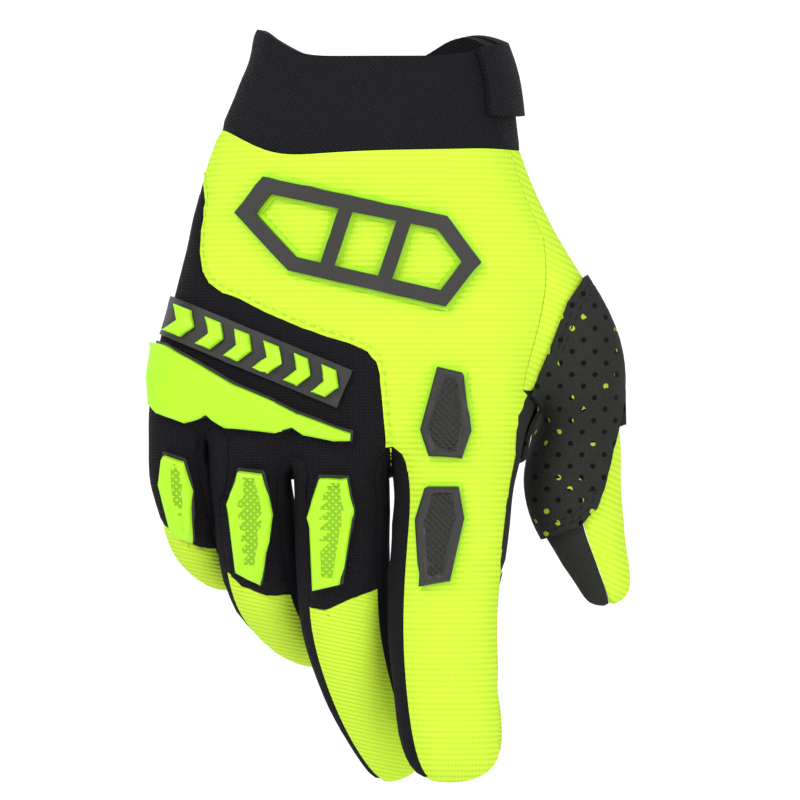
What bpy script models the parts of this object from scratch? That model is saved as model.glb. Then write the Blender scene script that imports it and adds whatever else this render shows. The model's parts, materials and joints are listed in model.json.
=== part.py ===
"""A right-hand motocross glove, held up by its wrist opening with the fingers hanging down.

The back of the hand faces -Y, the thumb is at +X, and the origin is the centre of the wrist opening.
One shell is modelled for the whole glove, and each sewn panel is a wall cut out of it.
Units are metres.
"""

import math
from collections import namedtuple

import bmesh
import bpy
from mathutils import Matrix, Vector

# Driving sizes of the hand part
PALM_LENGTH = 0.078  # from the cuff's seam down to the forks between the fingers
PALM_WIDTH = 0.098  # across the knuckles
PALM_DEPTH = 0.040  # from the back of the hand to the palm
CUFF_HEIGHT = 0.025

# Each finger's length runs along its bend, from the fork to the tip
INDEX_LENGTH, INDEX_WIDTH, INDEX_DEPTH = 0.087, 0.0300, 0.0265
MIDDLE_LENGTH, MIDDLE_WIDTH, MIDDLE_DEPTH = 0.097, 0.0235, 0.0240
RING_LENGTH, RING_WIDTH, RING_DEPTH = 0.088, 0.0215, 0.0225
PINKY_LENGTH, PINKY_WIDTH, PINKY_DEPTH = 0.066, 0.0180, 0.0200
THUMB_LENGTH, THUMB_WIDTH, THUMB_DEPTH = 0.080, 0.0290, 0.0270

# Walls and gaps
KNIT_WALL = 0.0016
SUEDE_WALL = 0.0015
CUFF_WALL = 0.0026
FOURCHETTE_WALL = 0.0014
PATCH_WALL = 0.0012
STRAP_WALL = 0.0018
SEAM_GAP = 0.0006  # between the edges of two sewn panels
SEAT_GAP = 0.0003  # under a piece that sits on a panel

# Moulded guards
GUARD_BASE = 0.0009
GUARD_RISE = 0.0018
NARROW_RIM, WIDE_RIM = 0.0006, 0.0008  # how far a base shows round its raised part
GUARD_CHAMFER = 0.0006
CHAMFER_DROP = 0.0006
KNUCKLE_RISE = 0.0022
EMBLEM_BASE = 0.0007
EMBLEM_RISE = 0.0016
EMBLEM_RIM = 0.0010
BLOCK_CHAMFER = 0.0004
# faces of a panel that meet at less than this many degrees are joined
FLAT_ANGLE, CARRYING_FLAT_ANGLE = 5.0, 2.2
SNAP = 0.0002  # a cut this near a corner goes through it

# The shell's cage: rows down the palm, and columns round it from the outer side over the back of the hand
PalmRow = namedtuple("PalmRow", "down left right front back turn")
PALM_ROWS = (
    PalmRow(0.000, -0.420, 0.392, -0.58, 0.56, 0.00),
    PalmRow(0.117, -0.470, 0.425, -0.55, 0.54, 0.02),
    PalmRow(0.250, -0.500, 0.474, -0.53, 0.52, 0.06),
    PalmRow(0.383, -0.522, 0.485, -0.51, 0.50, 0.10),
    PalmRow(0.517, -0.556, 0.475, -0.50, 0.47, 0.15),
    PalmRow(0.650, -0.593, 0.456, -0.50, 0.43, 0.19),
    PalmRow(0.783, -0.606, 0.435, -0.49, 0.39, 0.22),
    PalmRow(0.900, -0.622, 0.405, -0.45, 0.35, 0.24),
    PalmRow(1.000, -0.618, 0.398, -0.40, 0.31, 0.25),
)
CuffRow = namedtuple("CuffRow", "up left right deep")
CUFF_ROWS = (
    CuffRow(0.30, -0.388, 0.384, 0.57),
    CuffRow(0.70, -0.341, 0.372, 0.56),
    CuffRow(1.00, -0.330, 0.340, 0.55),
)
# across and depth at the cuff and at the forks, then how far the seam and rim rise, and how far the fork drops
Column = namedtuple("Column", "cuff_across fork_across cuff_depth fork_depth seam_rise rim_rise fork_drop")
COLUMNS = (
    Column(0.035, 0.030, -0.42, -0.50, 0.22, 0.24, -0.043),
    Column(0.110, 0.085, -0.66, -0.80, 0.06, 0.08, -0.057),
    Column(0.210, 0.165, -0.84, -0.78, -0.09, -0.06, -0.110),
    Column(0.345, 0.277, -0.96, -1.02, -0.06, -0.07, -0.010),
    Column(0.500, 0.386, -1.00, -0.86, -0.03, -0.07, -0.010),
    Column(0.650, 0.516, -1.00, -1.06, -0.02, -0.07, 0.033),
    Column(0.780, 0.646, -0.93, -0.88, -0.01, -0.06, -0.040),
    Column(0.880, 0.816, -0.76, -1.10, 0.01, 0.00, 0.027),
    Column(0.965, 0.965, -0.45, -0.66, 0.00, 0.07, 0.000),
    Column(1.000, 1.000, 0.00, 0.00, 0.02, 0.08, 0.007),
    Column(0.965, 0.965, 0.45, 0.66, 0.02, 0.17, 0.040),
    Column(0.880, 0.816, 0.76, 1.05, 0.00, 0.28, 0.083),
    Column(0.780, 0.646, 0.93, 0.92, 0.00, 0.22, 0.107),
    Column(0.650, 0.516, 1.00, 1.02, 0.00, -0.03, 0.107),
    Column(0.500, 0.386, 1.00, 0.90, 0.00, -0.05, 0.100),
    Column(0.345, 0.277, 0.96, 1.02, 0.00, -0.03, 0.073),
    Column(0.210, 0.165, 0.84, 0.86, 0.00, 0.04, 0.040),
    Column(0.110, 0.085, 0.66, 0.85, 0.04, 0.16, 0.007),
    Column(0.035, 0.030, 0.42, 0.55, 0.14, 0.26, -0.017),
    Column(0.000, 0.000, 0.00, 0.00, 0.28, 0.28, -0.030),
)
RIGHT_SIDE, LEFT_SIDE = 9, 19  # the columns at the index side and at the outer side
COLUMN_COUNT = len(COLUMNS)
LAST_ROW = len(PALM_ROWS) - 1
WEB_DROP = {2: -0.060, 4: 0.040, 6: -0.030}  # the skin in each fork, by its column on the back
# how much further down the web between the thumb and the palm lies, by row and column
THUMB_WEB = {
    (5, 10): 0.03, (5, 11): 0.02, (6, 8): 0.00, (6, 9): 0.05, (6, 10): 0.13, (6, 11): 0.08, (6, 12): 0.03,
    (7, 9): 0.03, (7, 10): 0.08, (7, 11): 0.06, (7, 12): 0.02,
}
THUMB_ROWS = (2, 6)  # the thumb leaves the side of the palm between these rows
THUMB_COLUMNS = (8, 10)

# Stations down each finger, as shares of its length from the middle of its root, its width and its depth
Station = namedtuple("Station", "down side back wide deep lean", defaults=(None,))
FINGERS = {
    "pinky": (
        PINKY_LENGTH, PINKY_WIDTH, PINKY_DEPTH, -14,
        (
            Station(0.120, 0.012, 0.050, 0.98, 0.98),
            Station(0.210, 0.035, 0.110, 1.00, 1.00),
            Station(0.300, 0.054, 0.200, 0.96, 1.00),
            Station(0.388, 0.072, 0.320, 0.92, 0.98),
            Station(0.458, 0.116, 0.450, 0.84, 0.92),
            Station(0.512, 0.168, 0.580, 0.73, 0.80),
            Station(0.531, 0.202, 0.670, 0.50, 0.56),
            Station(0.535, 0.210, 0.710, 0.0, 0.0),
        ),
    ),
    "ring": (
        RING_LENGTH, RING_WIDTH, RING_DEPTH, -8,
        (
            Station(0.100, 0.006, 0.030, 0.98, 0.98),
            Station(0.195, 0.018, 0.070, 1.00, 1.00),
            Station(0.304, 0.027, 0.140, 1.02, 1.02),
            Station(0.399, 0.047, 0.240, 1.02, 1.02),
            Station(0.485, 0.092, 0.360, 0.95, 0.95),
            Station(0.543, 0.150, 0.490, 0.88, 0.90),
            Station(0.582, 0.194, 0.590, 0.77, 0.80),
            Station(0.602, 0.218, 0.665, 0.50, 0.52),
            Station(0.606, 0.226, 0.700, 0.0, 0.0),
        ),
    ),
    "middle": (
        MIDDLE_LENGTH, MIDDLE_WIDTH, MIDDLE_DEPTH, 0,
        (
            Station(0.085, 0.004, 0.012, 1.04, 1.00),
            Station(0.165, 0.005, 0.030, 1.05, 1.00),
            Station(0.281, 0.006, 0.075, 1.06, 1.02),
            Station(0.402, 0.008, 0.140, 1.06, 1.02),
            Station(0.536, 0.038, 0.220, 1.00, 0.97),
            Station(0.670, 0.080, 0.310, 0.92, 0.90),
            Station(0.785, 0.128, 0.380, 0.80, 0.78),
            Station(0.858, 0.165, 0.420, 0.62, 0.58),
            Station(0.890, 0.184, 0.436, 0.0, 0.0),
        ),
    ),
    "index": (
        INDEX_LENGTH, INDEX_WIDTH, INDEX_DEPTH, 0,
        (
            Station(0.095, -0.004, 0.005, 1.02, 1.00),
            Station(0.180, -0.006, 0.010, 1.02, 1.00),
            Station(0.320, -0.025, 0.025, 0.98, 0.98),
            Station(0.500, -0.037, 0.055, 0.95, 0.95),
            Station(0.690, -0.027, 0.100, 0.92, 0.90),
            Station(0.850, -0.004, 0.140, 0.92, 0.82),
            Station(0.955, 0.016, 0.165, 0.74, 0.60),
            Station(1.000, 0.022, 0.175, 0.0, 0.0),
        ),
    ),
}
FINGER_NAMES = tuple(FINGERS)
# The thumb's stations are measured from the middle of its root in the palm's side
THUMB_TURN = 0
THUMB_STATIONS = (
    Station(0.130, 0.122, 0.080, 1.08, 1.14, 65),
    Station(0.250, 0.135, 0.150, 1.02, 1.06, 46),
    Station(0.360, 0.126, 0.195, 0.98, 0.98, 37),
    Station(0.460, 0.120, 0.220, 0.95, 0.94, 28),
    Station(0.614, 0.132, 0.245, 0.84, 0.90, 16),
    Station(0.741, 0.162, 0.260, 0.69, 0.82, 6),
    Station(0.846, 0.206, 0.272, 0.58, 0.70, 5),
    Station(0.945, 0.236, 0.280, 0.40, 0.44, 11),
    Station(0.978, 0.242, 0.283, 0.0, 0.0, 11),
)
THUMB_AXIS = (1.0, 0.0, -0.3)  # the way the thumb leaves the palm

# Eight corners round a finger: three on the back, one on each side and three on the palm
BACK_CORNER = math.radians(50)
FINGER_ANGLES = (
    -BACK_CORNER, 0.0, BACK_CORNER, math.pi / 2,
    math.pi - BACK_CORNER, math.pi, math.pi + BACK_CORNER, -math.pi / 2,
)
FINGER_SQUARENESS = 2.3
THUMB_SQUARENESS = 2.1
# Subdivision draws a ring of corners in, so its corners start this much further out
FINGER_SWELL, THUMB_SWELL = 1.09, 1.05
ROOT_FADE = 0.55  # how much of the fork's slant each next station keeps

# Lines and outlines are shares of PALM_WIDTH, across and down from the middle of the wrist opening,
# as seen from the back of the hand
BACK_BORDER = (
    (-0.509, 0.186), (-0.483, 0.238), (-0.468, 0.316), (-0.455, 0.394), (-0.465, 0.459), (-0.469, 0.525),
    (-0.460, 0.577), (-0.442, 0.608), (-0.410, 0.631), (-0.361, 0.650), (-0.291, 0.686), (-0.212, 0.720),
    (-0.142, 0.746), (-0.067, 0.769), (-0.022, 0.790), (0.001, 0.816), (0.009, 0.845), (0.017, 0.926),
    (0.025, 1.019), (0.030, 1.111),
)
TIP_BORDERS = {
    "pinky": ((-0.600, 1.234), (-0.547, 1.273), (-0.515, 1.297), (-0.470, 1.316), (-0.374, 1.321)),
    "ring": ((-0.454, 1.340), (-0.401, 1.380), (-0.361, 1.419), (-0.294, 1.443), (-0.162, 1.438)),
    "middle": ((-0.240, 1.422), (-0.205, 1.443), (-0.179, 1.469), (-0.134, 1.475), (-0.081, 1.451), (0.024, 1.411)),
}
INDEX_BORDER = (
    (0.406, 0.900), (0.377, 0.965), (0.372, 1.058), (0.351, 1.181), (0.338, 1.297), (0.335, 1.368),
    (0.327, 1.495), (0.330, 1.705), (0.335, 1.863), (0.301, 1.969),
)
# the rounded tops of the forks' linings
FORK_ARCHES = (
    (
        (-0.458, 1.035), (-0.451, 1.009), (-0.440, 0.993), (-0.424, 0.988), (-0.408, 0.996), (-0.395, 1.014),
        (-0.390, 1.038), (-0.396, 1.110), (-0.404, 1.170), (-0.420, 1.180), (-0.440, 1.120),
    ),
    (
        (-0.236, 1.113), (-0.233, 1.085), (-0.220, 1.069), (-0.204, 1.067), (-0.189, 1.080), (-0.184, 1.113),
        (-0.188, 1.230), (-0.203, 1.330), (-0.218, 1.230),
    ),
    (
        (0.001, 1.127), (0.007, 1.088), (0.020, 1.067), (0.040, 1.059), (0.061, 1.067), (0.074, 1.090),
        (0.077, 1.127), (0.070, 1.205), (0.053, 1.335), (0.025, 1.335), (0.007, 1.230),
    ),
)
GRIP_START = 1.368  # how far down the index finger its grip begins
KNUCKLE_GUARD = (
    (-0.566, 0.768), (-0.546, 0.772), (-0.476, 0.811), (-0.371, 0.871), (-0.280, 0.910), (-0.212, 0.944),
    (-0.105, 0.984), (-0.064, 0.998), (-0.066, 1.014), (-0.105, 1.016), (-0.181, 1.000), (-0.216, 0.980),
    (-0.262, 0.993), (-0.384, 0.980), (-0.434, 0.946), (-0.499, 0.967), (-0.559, 0.947), (-0.576, 0.925), (-0.580, 0.850),
)
PINKY_GUARD = (
    (-0.551, 1.056), (-0.507, 1.072), (-0.492, 1.145), (-0.492, 1.277), (-0.534, 1.262), (-0.563, 1.130),
)
RING_GUARD = (
    (-0.355, 1.097), (-0.300, 1.102), (-0.281, 1.208), (-0.308, 1.392), (-0.363, 1.360), (-0.381, 1.184),
)
MIDDLE_GUARD = (
    (-0.140, 1.114), (-0.076, 1.116), (-0.062, 1.203), (-0.093, 1.391), (-0.156, 1.409), (-0.164, 1.206),
)
INDEX_GUARD_UPPER = (
    (0.163, 0.829), (0.228, 0.845), (0.246, 0.991), (0.223, 1.061), (0.144, 1.056), (0.121, 0.988),
)
INDEX_GUARD_LOWER = (
    (0.140, 1.138), (0.215, 1.138), (0.229, 1.221), (0.192, 1.384), (0.124, 1.399), (0.113, 1.227),
)
# each guard's name, outline, turn of its look in degrees, rim, rise and the parts of the cage it lies on
GUARDS = (
    ("knuckle_guard", KNUCKLE_GUARD, 0, NARROW_RIM, KNUCKLE_RISE, ("back_hand",)),
    ("pinky_guard", PINKY_GUARD, 0, NARROW_RIM, GUARD_RISE, ("back_hand", "back_pinky")),
    ("ring_guard", RING_GUARD, 0, NARROW_RIM, GUARD_RISE, ("back_hand", "back_ring")),
    ("middle_guard", MIDDLE_GUARD, 0, NARROW_RIM, GUARD_RISE, ("back_hand", "back_middle")),
    ("index_guard_upper", INDEX_GUARD_UPPER, 0, WIDE_RIM, GUARD_RISE, ("back_hand", "back_index")),
    ("index_guard_lower", INDEX_GUARD_LOWER, 0, WIDE_RIM, GUARD_RISE, ("back_hand", "back_index")),
)
PATCH_FRONT = (
    (0.703, 0.462), (0.549, 0.590), (0.503, 0.657), (0.458, 0.774), (0.430, 0.840), (0.405, 0.905),
    (0.344, 0.969), (0.344, 1.160), (0.410, 1.262), (0.450, 1.286), (0.546, 1.246), (0.581, 1.206),
    (0.602, 1.147), (0.634, 0.993), (0.647, 0.923), (0.757, 0.915),
)
PATCH_BACK = (
    (0.709, 0.485), (0.553, 0.601), (0.510, 0.680), (0.470, 0.760), (0.430, 0.840), (0.405, 0.905),
    (0.344, 0.969), (0.346, 1.104), (0.386, 1.184), (0.454, 1.225), (0.548, 1.217), (0.602, 1.130),
    (0.634, 0.996), (0.763, 0.915),
)
THUMB_REGIONS = ("gusset", "thumb_palm")
EMBLEM = (
    (-0.358, 0.426), (-0.285, 0.334), (0.183, 0.436), (0.272, 0.556), (0.183, 0.673), (-0.223, 0.577),
)
# a row of arrow-shaped blocks above the knuckle guard: the first one's place, the step to the next, and its corners
BLOCK_COUNT = 6
BLOCK_START, BLOCK_STEP = (-0.497, 0.714), (0.0752, 0.0310)
BLOCK = ((-0.032, -0.037), (0.008, -0.037), (0.030, 0.0), (0.008, 0.037), (-0.032, 0.037), (-0.010, 0.0))
BLOCK_BASE = ((-0.060, -0.052), (0.452, -0.052), (0.452, 0.052), (-0.048, 0.052))
EMBLEM_CELLS = (
    ((-0.306, 0.428), (-0.267, 0.378), (-0.095, 0.415), (-0.142, 0.556), (-0.202, 0.542)),
    ((-0.059, 0.424), (0.056, 0.448), (0.009, 0.592), (-0.106, 0.564)),
    ((0.092, 0.456), (0.160, 0.471), (0.223, 0.555), (0.168, 0.629), (0.045, 0.600)),
)


Cage = namedtuple("Cage", "points faces regions")


def blend(a, b, share):
    return a + (b - a) * share


def palm_point(row, column):
    """A cage corner on the palm, from its row and column."""
    sizes, place = PALM_ROWS[row], COLUMNS[column]
    across = blend(place.cuff_across, place.fork_across, sizes.down)
    depth = blend(place.cuff_depth, place.fork_depth, sizes.down)
    x = blend(sizes.left, sizes.right, across) * PALM_WIDTH
    reach = -sizes.front if depth < 0 else sizes.back
    y = (depth * reach + sizes.turn * (0.5 - across)) * PALM_DEPTH
    down = sizes.down + place.fork_drop * sizes.down**2 + THUMB_WEB.get((row, column), 0)
    z = -CUFF_HEIGHT - down * PALM_LENGTH
    z += place.seam_rise * (1 - sizes.down) ** 5 * CUFF_HEIGHT
    return Vector((x, y, z))


def cuff_point(step, column):
    """A cage corner on the cuff: step 0 is just above the seam."""
    sizes, place = CUFF_ROWS[step], COLUMNS[column]
    x = blend(sizes.left, sizes.right, place.cuff_across) * PALM_WIDTH
    y = place.cuff_depth * sizes.deep * PALM_DEPTH
    rise = blend(place.seam_rise, place.rim_rise, sizes.up)
    return Vector((x, y, -CUFF_HEIGHT * (1 - sizes.up) + rise * CUFF_HEIGHT))


def squircle(angle, squareness):
    """Shares of the half width and half depth at an angle from the back of the finger towards +X."""
    s, c = math.sin(angle), math.cos(angle)
    power = 2 / squareness
    return math.copysign(abs(s) ** power, s), math.copysign(abs(c) ** power, c)


def section_axes(along, turn):
    """The sideways and outward directions of a section whose tube runs along a direction."""
    sideways = Matrix.Rotation(math.radians(turn), 3, "Z") @ Vector((1, 0, 0))
    sideways = (sideways - along * sideways.dot(along)).normalized()
    return sideways, along.cross(sideways)


def tube_stations(root, axis, length, stations):
    """Centres of a finger's sections, and the direction it runs in at each."""
    centres = [root + Vector((s.side, s.back, -s.down)) * length for s in stations]
    line = [root - axis * 0.05 * length, *centres]
    directions = [(line[i + 2] - line[i]).normalized() for i in range(len(centres) - 1)]
    for i, station in enumerate(stations[:-1]):
        if station.lean is not None:
            lean = math.radians(station.lean)
            directions[i] = Vector((math.sin(lean), directions[i].y, -math.cos(lean))).normalized()
    return centres, directions


class CageBuilder:
    """Collects the corners and faces of the glove's cage."""

    def __init__(self):
        self.points, self.index, self.faces, self.regions = [], {}, [], []

    def corner(self, key, point=None):
        if key not in self.index:
            self.index[key] = len(self.points)
            self.points.append(point)
        return self.index[key]

    def face(self, region, *keys):
        self.faces.append([self.index[key] for key in keys])
        self.regions.append(region)

    def tube(self, name, root_keys, length, width, depth, turn, stations, angles, squareness, swell, region_of, axis):
        """Carries a ring of corners out along a finger or thumb, and returns the last ring's keys and its centre."""
        roots = [self.points[self.index[key]] for key in root_keys]
        root = sum(roots, Vector()) / len(roots)
        centres, directions = tube_stations(root, axis, length, stations)
        rings = [list(root_keys)]
        for step, (centre, along, size) in enumerate(zip(centres[:-1], directions, stations)):
            sideways, outward = section_axes(along, turn)
            keys = []
            for j, angle in enumerate(angles):
                wide, deep = squircle(angle, squareness)
                slant = (roots[j] - root).dot(axis) * ROOT_FADE ** (step + 1) if step < 3 else 0
                point = centre + sideways * (wide * width / 2 * size.wide * swell)
                point += outward * (deep * depth / 2 * size.deep * swell) + along * slant
                keys.append((name, step, j))
                self.corner(keys[-1], point)
            rings.append(keys)
        self.corner((name, "tip"), centres[-1])
        count = len(angles)
        for step, (upper, lower) in enumerate(zip(rings, rings[1:])):
            for j in range(count):
                k = (j + 1) % count
                self.face(region_of(step, j), upper[j], lower[j], lower[k], upper[k])
        return rings[-1]


def finger_regions(finger):
    """Which panel each of a finger's eight strips belongs to."""
    name = FINGER_NAMES[finger]
    back, palm = "back_" + name, "palm_" + name
    right = f"fork_{finger}" if finger < 3 else palm
    left_back, left_palm = (f"fork_{finger - 1}",) * 2 if finger else (back, palm)
    return (back, back, right, right, palm, palm, left_palm, left_back)


def build_cage():
    """The whole glove as one open cage of four-sided faces."""
    cage = CageBuilder()
    for row in range(LAST_ROW + 1):
        for column in range(COLUMN_COUNT):
            in_thumb = THUMB_ROWS[0] < row < THUMB_ROWS[1] and column == RIGHT_SIDE
            if not in_thumb:
                cage.corner(("palm", row, column), palm_point(row, column))
    for step in range(len(CUFF_ROWS)):
        for column in range(COLUMN_COUNT):
            cage.corner(("cuff", step, column), cuff_point(step, column))
    for column, drop in WEB_DROP.items():
        back, front = palm_point(LAST_ROW, column), palm_point(LAST_ROW, 18 - column)
        web = (back + front) / 2
        web.z = -CUFF_HEIGHT - (1 + drop) * PALM_LENGTH
        cage.corner(("web", column), web)

    for column in range(COLUMN_COUNT):
        beside = (column + 1) % COLUMN_COUNT
        levels = [("cuff", step, None) for step in range(len(CUFF_ROWS) - 1, -1, -1)] + [("palm", 0, None)]
        for upper, lower in zip(levels, levels[1:]):
            keys = [(level[0], level[1], c) for level, c in
                    ((upper, column), (lower, column), (lower, beside), (upper, beside))]
            wrapped = 7 <= column <= 13 and lower[0] == "cuff"
            cage.face("cuff_wrapped" if wrapped else "cuff", *keys)
        on_back = column < 8 or column == LEFT_SIDE
        for row in range(LAST_ROW):
            if THUMB_ROWS[0] <= row < THUMB_ROWS[1] and column in (8, 9):
                continue
            near_thumb = column in (8, 9) and row < THUMB_ROWS[0]
            region = "back_hand" if on_back else "gusset" if near_thumb else "palm"
            cage.face(region, ("palm", row, column), ("palm", row + 1, column),
                      ("palm", row + 1, beside), ("palm", row, beside))

    down = Vector((0, 0, -1))
    for finger, name in enumerate(FINGER_NAMES):
        length, width, depth, turn, stations = FINGERS[name]
        first = 2 * finger
        side = [("palm", LAST_ROW, LEFT_SIDE) if c == 0 else ("palm", LAST_ROW, RIGHT_SIDE) if c == 8 else ("web", c)
                for c in (first, first + 2)]
        roots = [("palm", LAST_ROW, first + i) for i in range(3)] + [side[1]]
        roots += [("palm", LAST_ROW, 18 - first - i) for i in (2, 1, 0)] + [side[0]]
        regions = finger_regions(finger)
        last = cage.tube(name, roots, length, width, depth, turn, stations, FINGER_ANGLES,
                         FINGER_SQUARENESS, FINGER_SWELL, lambda _, j: regions[j], down)
        tip = (name, "tip")
        for a, b, c, region in ((1, 0, 7, regions[0]), (3, 2, 1, regions[0]), (5, 4, 3, regions[4]), (7, 6, 5, regions[4])):
            cage.face(region, last[a], last[b], last[c], tip)

    top, bottom = THUMB_ROWS
    front, back = THUMB_COLUMNS
    roots = [("palm", row, front) for row in range(bottom, top - 1, -1)] + [("palm", top, RIGHT_SIDE)]
    roots += [("palm", row, back) for row in range(top, bottom + 1)] + [("palm", bottom, RIGHT_SIDE)]
    angles = [math.radians(-60 + 30 * j) for j in range(12)]
    axis = Vector(THUMB_AXIS).normalized()
    last = cage.tube("thumb", roots, THUMB_LENGTH, THUMB_WIDTH, THUMB_DEPTH, THUMB_TURN, THUMB_STATIONS,
                     angles, THUMB_SQUARENESS, THUMB_SWELL,
                     lambda step, j: "gusset" if (0 if step < 3 else 2) <= j < 8 else "thumb_palm", axis)
    for j in range(0, 12, 2):
        region = "gusset" if 2 <= j < 8 else "thumb_palm"
        cage.face(region, last[(j + 2) % 12], last[j + 1], last[j], ("thumb", "tip"))
    return Cage(cage.points, cage.faces, cage.regions)


# Each kind of material: colour and roughness
MATERIALS = {
    "neoprene": ((0.010, 0.010, 0.012), 0.85),
    "rib_knit": ((0.578, 0.855, 0.048), 0.80),
    "stretch_mesh": ((0.008, 0.007, 0.010), 0.85),
    "terry": ((0.012, 0.011, 0.014), 0.95),
    "suede": ((0.024, 0.025, 0.022), 0.90),
    "green_rubber": ((0.381, 0.791, 0.014), 0.50),
    "black_rubber": ((0.024, 0.025, 0.023), 0.50),
}
MATERIAL_OF = {
    "cuff": "neoprene", "closure_strap": "neoprene", "back_panel": "rib_knit", "thumb_back": "rib_knit",
    "pinky_tip": "rib_knit", "ring_tip": "rib_knit", "middle_tip": "rib_knit", "index_grip": "rib_knit",
    "knuckle_panel": "stretch_mesh", "fourchette_pinky_ring": "terry", "fourchette_ring_middle": "terry",
    "fourchette_middle_index": "terry", "palm": "suede", "thumb_palm": "suede", "thumb_patch": "suede",
    "knuckle_guard": "green_rubber", "pinky_guard": "green_rubber", "ring_guard": "green_rubber",
    "middle_guard": "green_rubber", "index_guard_upper_base": "green_rubber",
    "index_guard_lower_base": "green_rubber", "emblem_base": "green_rubber",
}


def material_for(name):
    """The material of a piece: blocks are green, and any other moulded piece is black."""
    kind = MATERIAL_OF.get(name) or ("green_rubber" if name[:6] == "block_" and name[-1].isdigit() else "black_rubber")
    material = bpy.data.materials.get(kind)
    if material is None:
        material = bpy.data.materials.new(kind)
        material.use_nodes = True
        colour, roughness = MATERIALS[kind]
        surface = material.node_tree.nodes["Principled BSDF"].inputs
        surface["Base Color"].default_value = (*colour, 1)
        surface["Roughness"].default_value = roughness
        surface["Metallic"].default_value = 0.0
    return material


def new_mesh_object(name, points, faces):
    mesh = bpy.data.meshes.new(name)
    mesh.from_pydata([tuple(p) for p in points], [], faces)
    mesh.update()
    return bpy.data.objects.new(name, mesh)


def subdivided_shell(levels):
    """The cage after Subdivision Surface, as a bmesh, and the list of its regions by material index."""
    cage = build_cage()
    names = sorted(set(cage.regions))
    holder = new_mesh_object("glove_cage", cage.points, cage.faces)
    for _ in names:
        holder.data.materials.append(None)
    for polygon, region in zip(holder.data.polygons, cage.regions):
        polygon.material_index = names.index(region)
    bpy.context.scene.collection.objects.link(holder)
    smooth = holder.modifiers.new("smooth", "SUBSURF")
    smooth.levels = smooth.render_levels = levels
    graph = bpy.context.evaluated_depsgraph_get()
    mesh = bpy.data.meshes.new_from_object(holder.evaluated_get(graph))
    bpy.data.objects.remove(holder)
    shell = bmesh.new()
    shell.from_mesh(mesh)
    bpy.data.meshes.remove(mesh)
    # flat faces, so that pieces cut out of a copy lie along the panels below them
    bmesh.ops.triangulate(shell, faces=shell.faces, quad_method="SHORT_EDGE")
    return shell, names


PALM_UP = Vector((0, 0, 1))


def sight_axes(turn):
    """The across and sight directions of a look at the back of the hand, turned to its outer side by degrees."""
    turn = math.radians(turn)
    return Vector((math.cos(turn), -math.sin(turn), 0)), Vector((math.sin(turn), math.cos(turn), 0))


def measured(outline):
    """An outline's corners in metres, from shares of PALM_WIDTH across and down from the wrist opening."""
    return [Vector((across, -down)) * PALM_WIDTH for across, down in outline]


def edge_normals(outline):
    """The outward direction of each side of a closed outline."""
    loop = list(zip(outline, outline[1:] + outline[:1]))
    turning = sum(a.x * b.y - b.x * a.y for a, b in loop)
    sign = math.copysign(1, turning)
    return [Vector((b.y - a.y, a.x - b.x)).normalized() * sign for a, b in loop]


def grown(outline, distance):
    """A closed outline with its sides moved outwards, or inwards by a negative distance."""
    normals = edge_normals(outline)
    moved = []
    for i, corner in enumerate(outline):
        before, after = normals[i - 1], normals[i]
        moved.append(corner + (before + after) * (distance / max(0.35, 1 + before.dot(after))))
    return moved


def is_inside(outline, point):
    inside = False
    for a, b in zip(outline, outline[1:] + outline[:1]):
        if (a.y > point.y) != (b.y > point.y) and point.x < a.x + (point.y - a.y) * (b.x - a.x) / (b.y - a.y):
            inside = not inside
    return inside


def distance_in(outline, point):
    """How far a point lies from an outline's nearest side."""
    nearest = 1.0
    for a, b in zip(outline, outline[1:] + outline[:1]):
        side = b - a
        share = min(1, max(0, (point - a).dot(side) / side.length_squared))
        nearest = min(nearest, (a + side * share - point).length)
    return nearest


class Shell:
    """The subdivided glove, which lines are cut into and patches are taken from."""

    def __init__(self, body, names):
        self.body, self.names = body, names
        body.normal_update()

    def copy(self):
        return Shell(self.body.copy(), list(self.names))

    def region(self, face):
        return self.names[face.material_index]

    def faces_of(self, regions, sight=None):
        return [f for f in self.body.faces if self.region(f) in regions
                and (sight is None or f.normal.dot(sight) < 0.1)]

    def cut(self, line, regions, turn=0, facing=None, closed=True):
        """Cuts straight through the faces of some regions along a line drawn in a look at the glove."""
        across, sight = sight_axes(turn)
        ends = line[1:] + line[:1] if closed else line[1:]
        for a, b in zip(line, ends):
            low = (min(a.x, b.x) - SNAP, min(a.y, b.y) - SNAP)
            high = (max(a.x, b.x) + SNAP, max(a.y, b.y) + SNAP)
            crossed = []
            for face in self.faces_of(regions, facing and sight * facing):
                flat = [(v.co.dot(across), v.co.z) for v in face.verts]
                u, w = [p[0] for p in flat], [p[1] for p in flat]
                if max(u) < low[0] or min(u) > high[0] or max(w) < low[1] or min(w) > high[1]:
                    continue
                crossed.append(face)
            parts = {*crossed, *(e for f in crossed for e in f.edges), *(v for f in crossed for v in f.verts)}
            normal = (across * (b.y - a.y) - PALM_UP * (b.x - a.x)).normalized()
            bmesh.ops.bisect_plane(self.body, geom=list(parts), dist=SNAP,
                                   plane_co=across * a.x + PALM_UP * a.y, plane_no=normal)
        self.body.normal_update()

    def inside(self, outline, regions, turn=0, facing=None, holes=()):
        across, sight = sight_axes(turn)
        kept = []
        for face in self.faces_of(regions, facing and sight * facing):
            centre = face.calc_center_median()
            flat = Vector((centre.dot(across), centre.z))
            if is_inside(outline, flat) and not any(is_inside(hole, flat) for hole in holes):
                kept.append(face)
        return kept

    def rename(self, faces, name):
        if name not in self.names:
            self.names.append(name)
        for face in faces:
            face.material_index = self.names.index(name)


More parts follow.
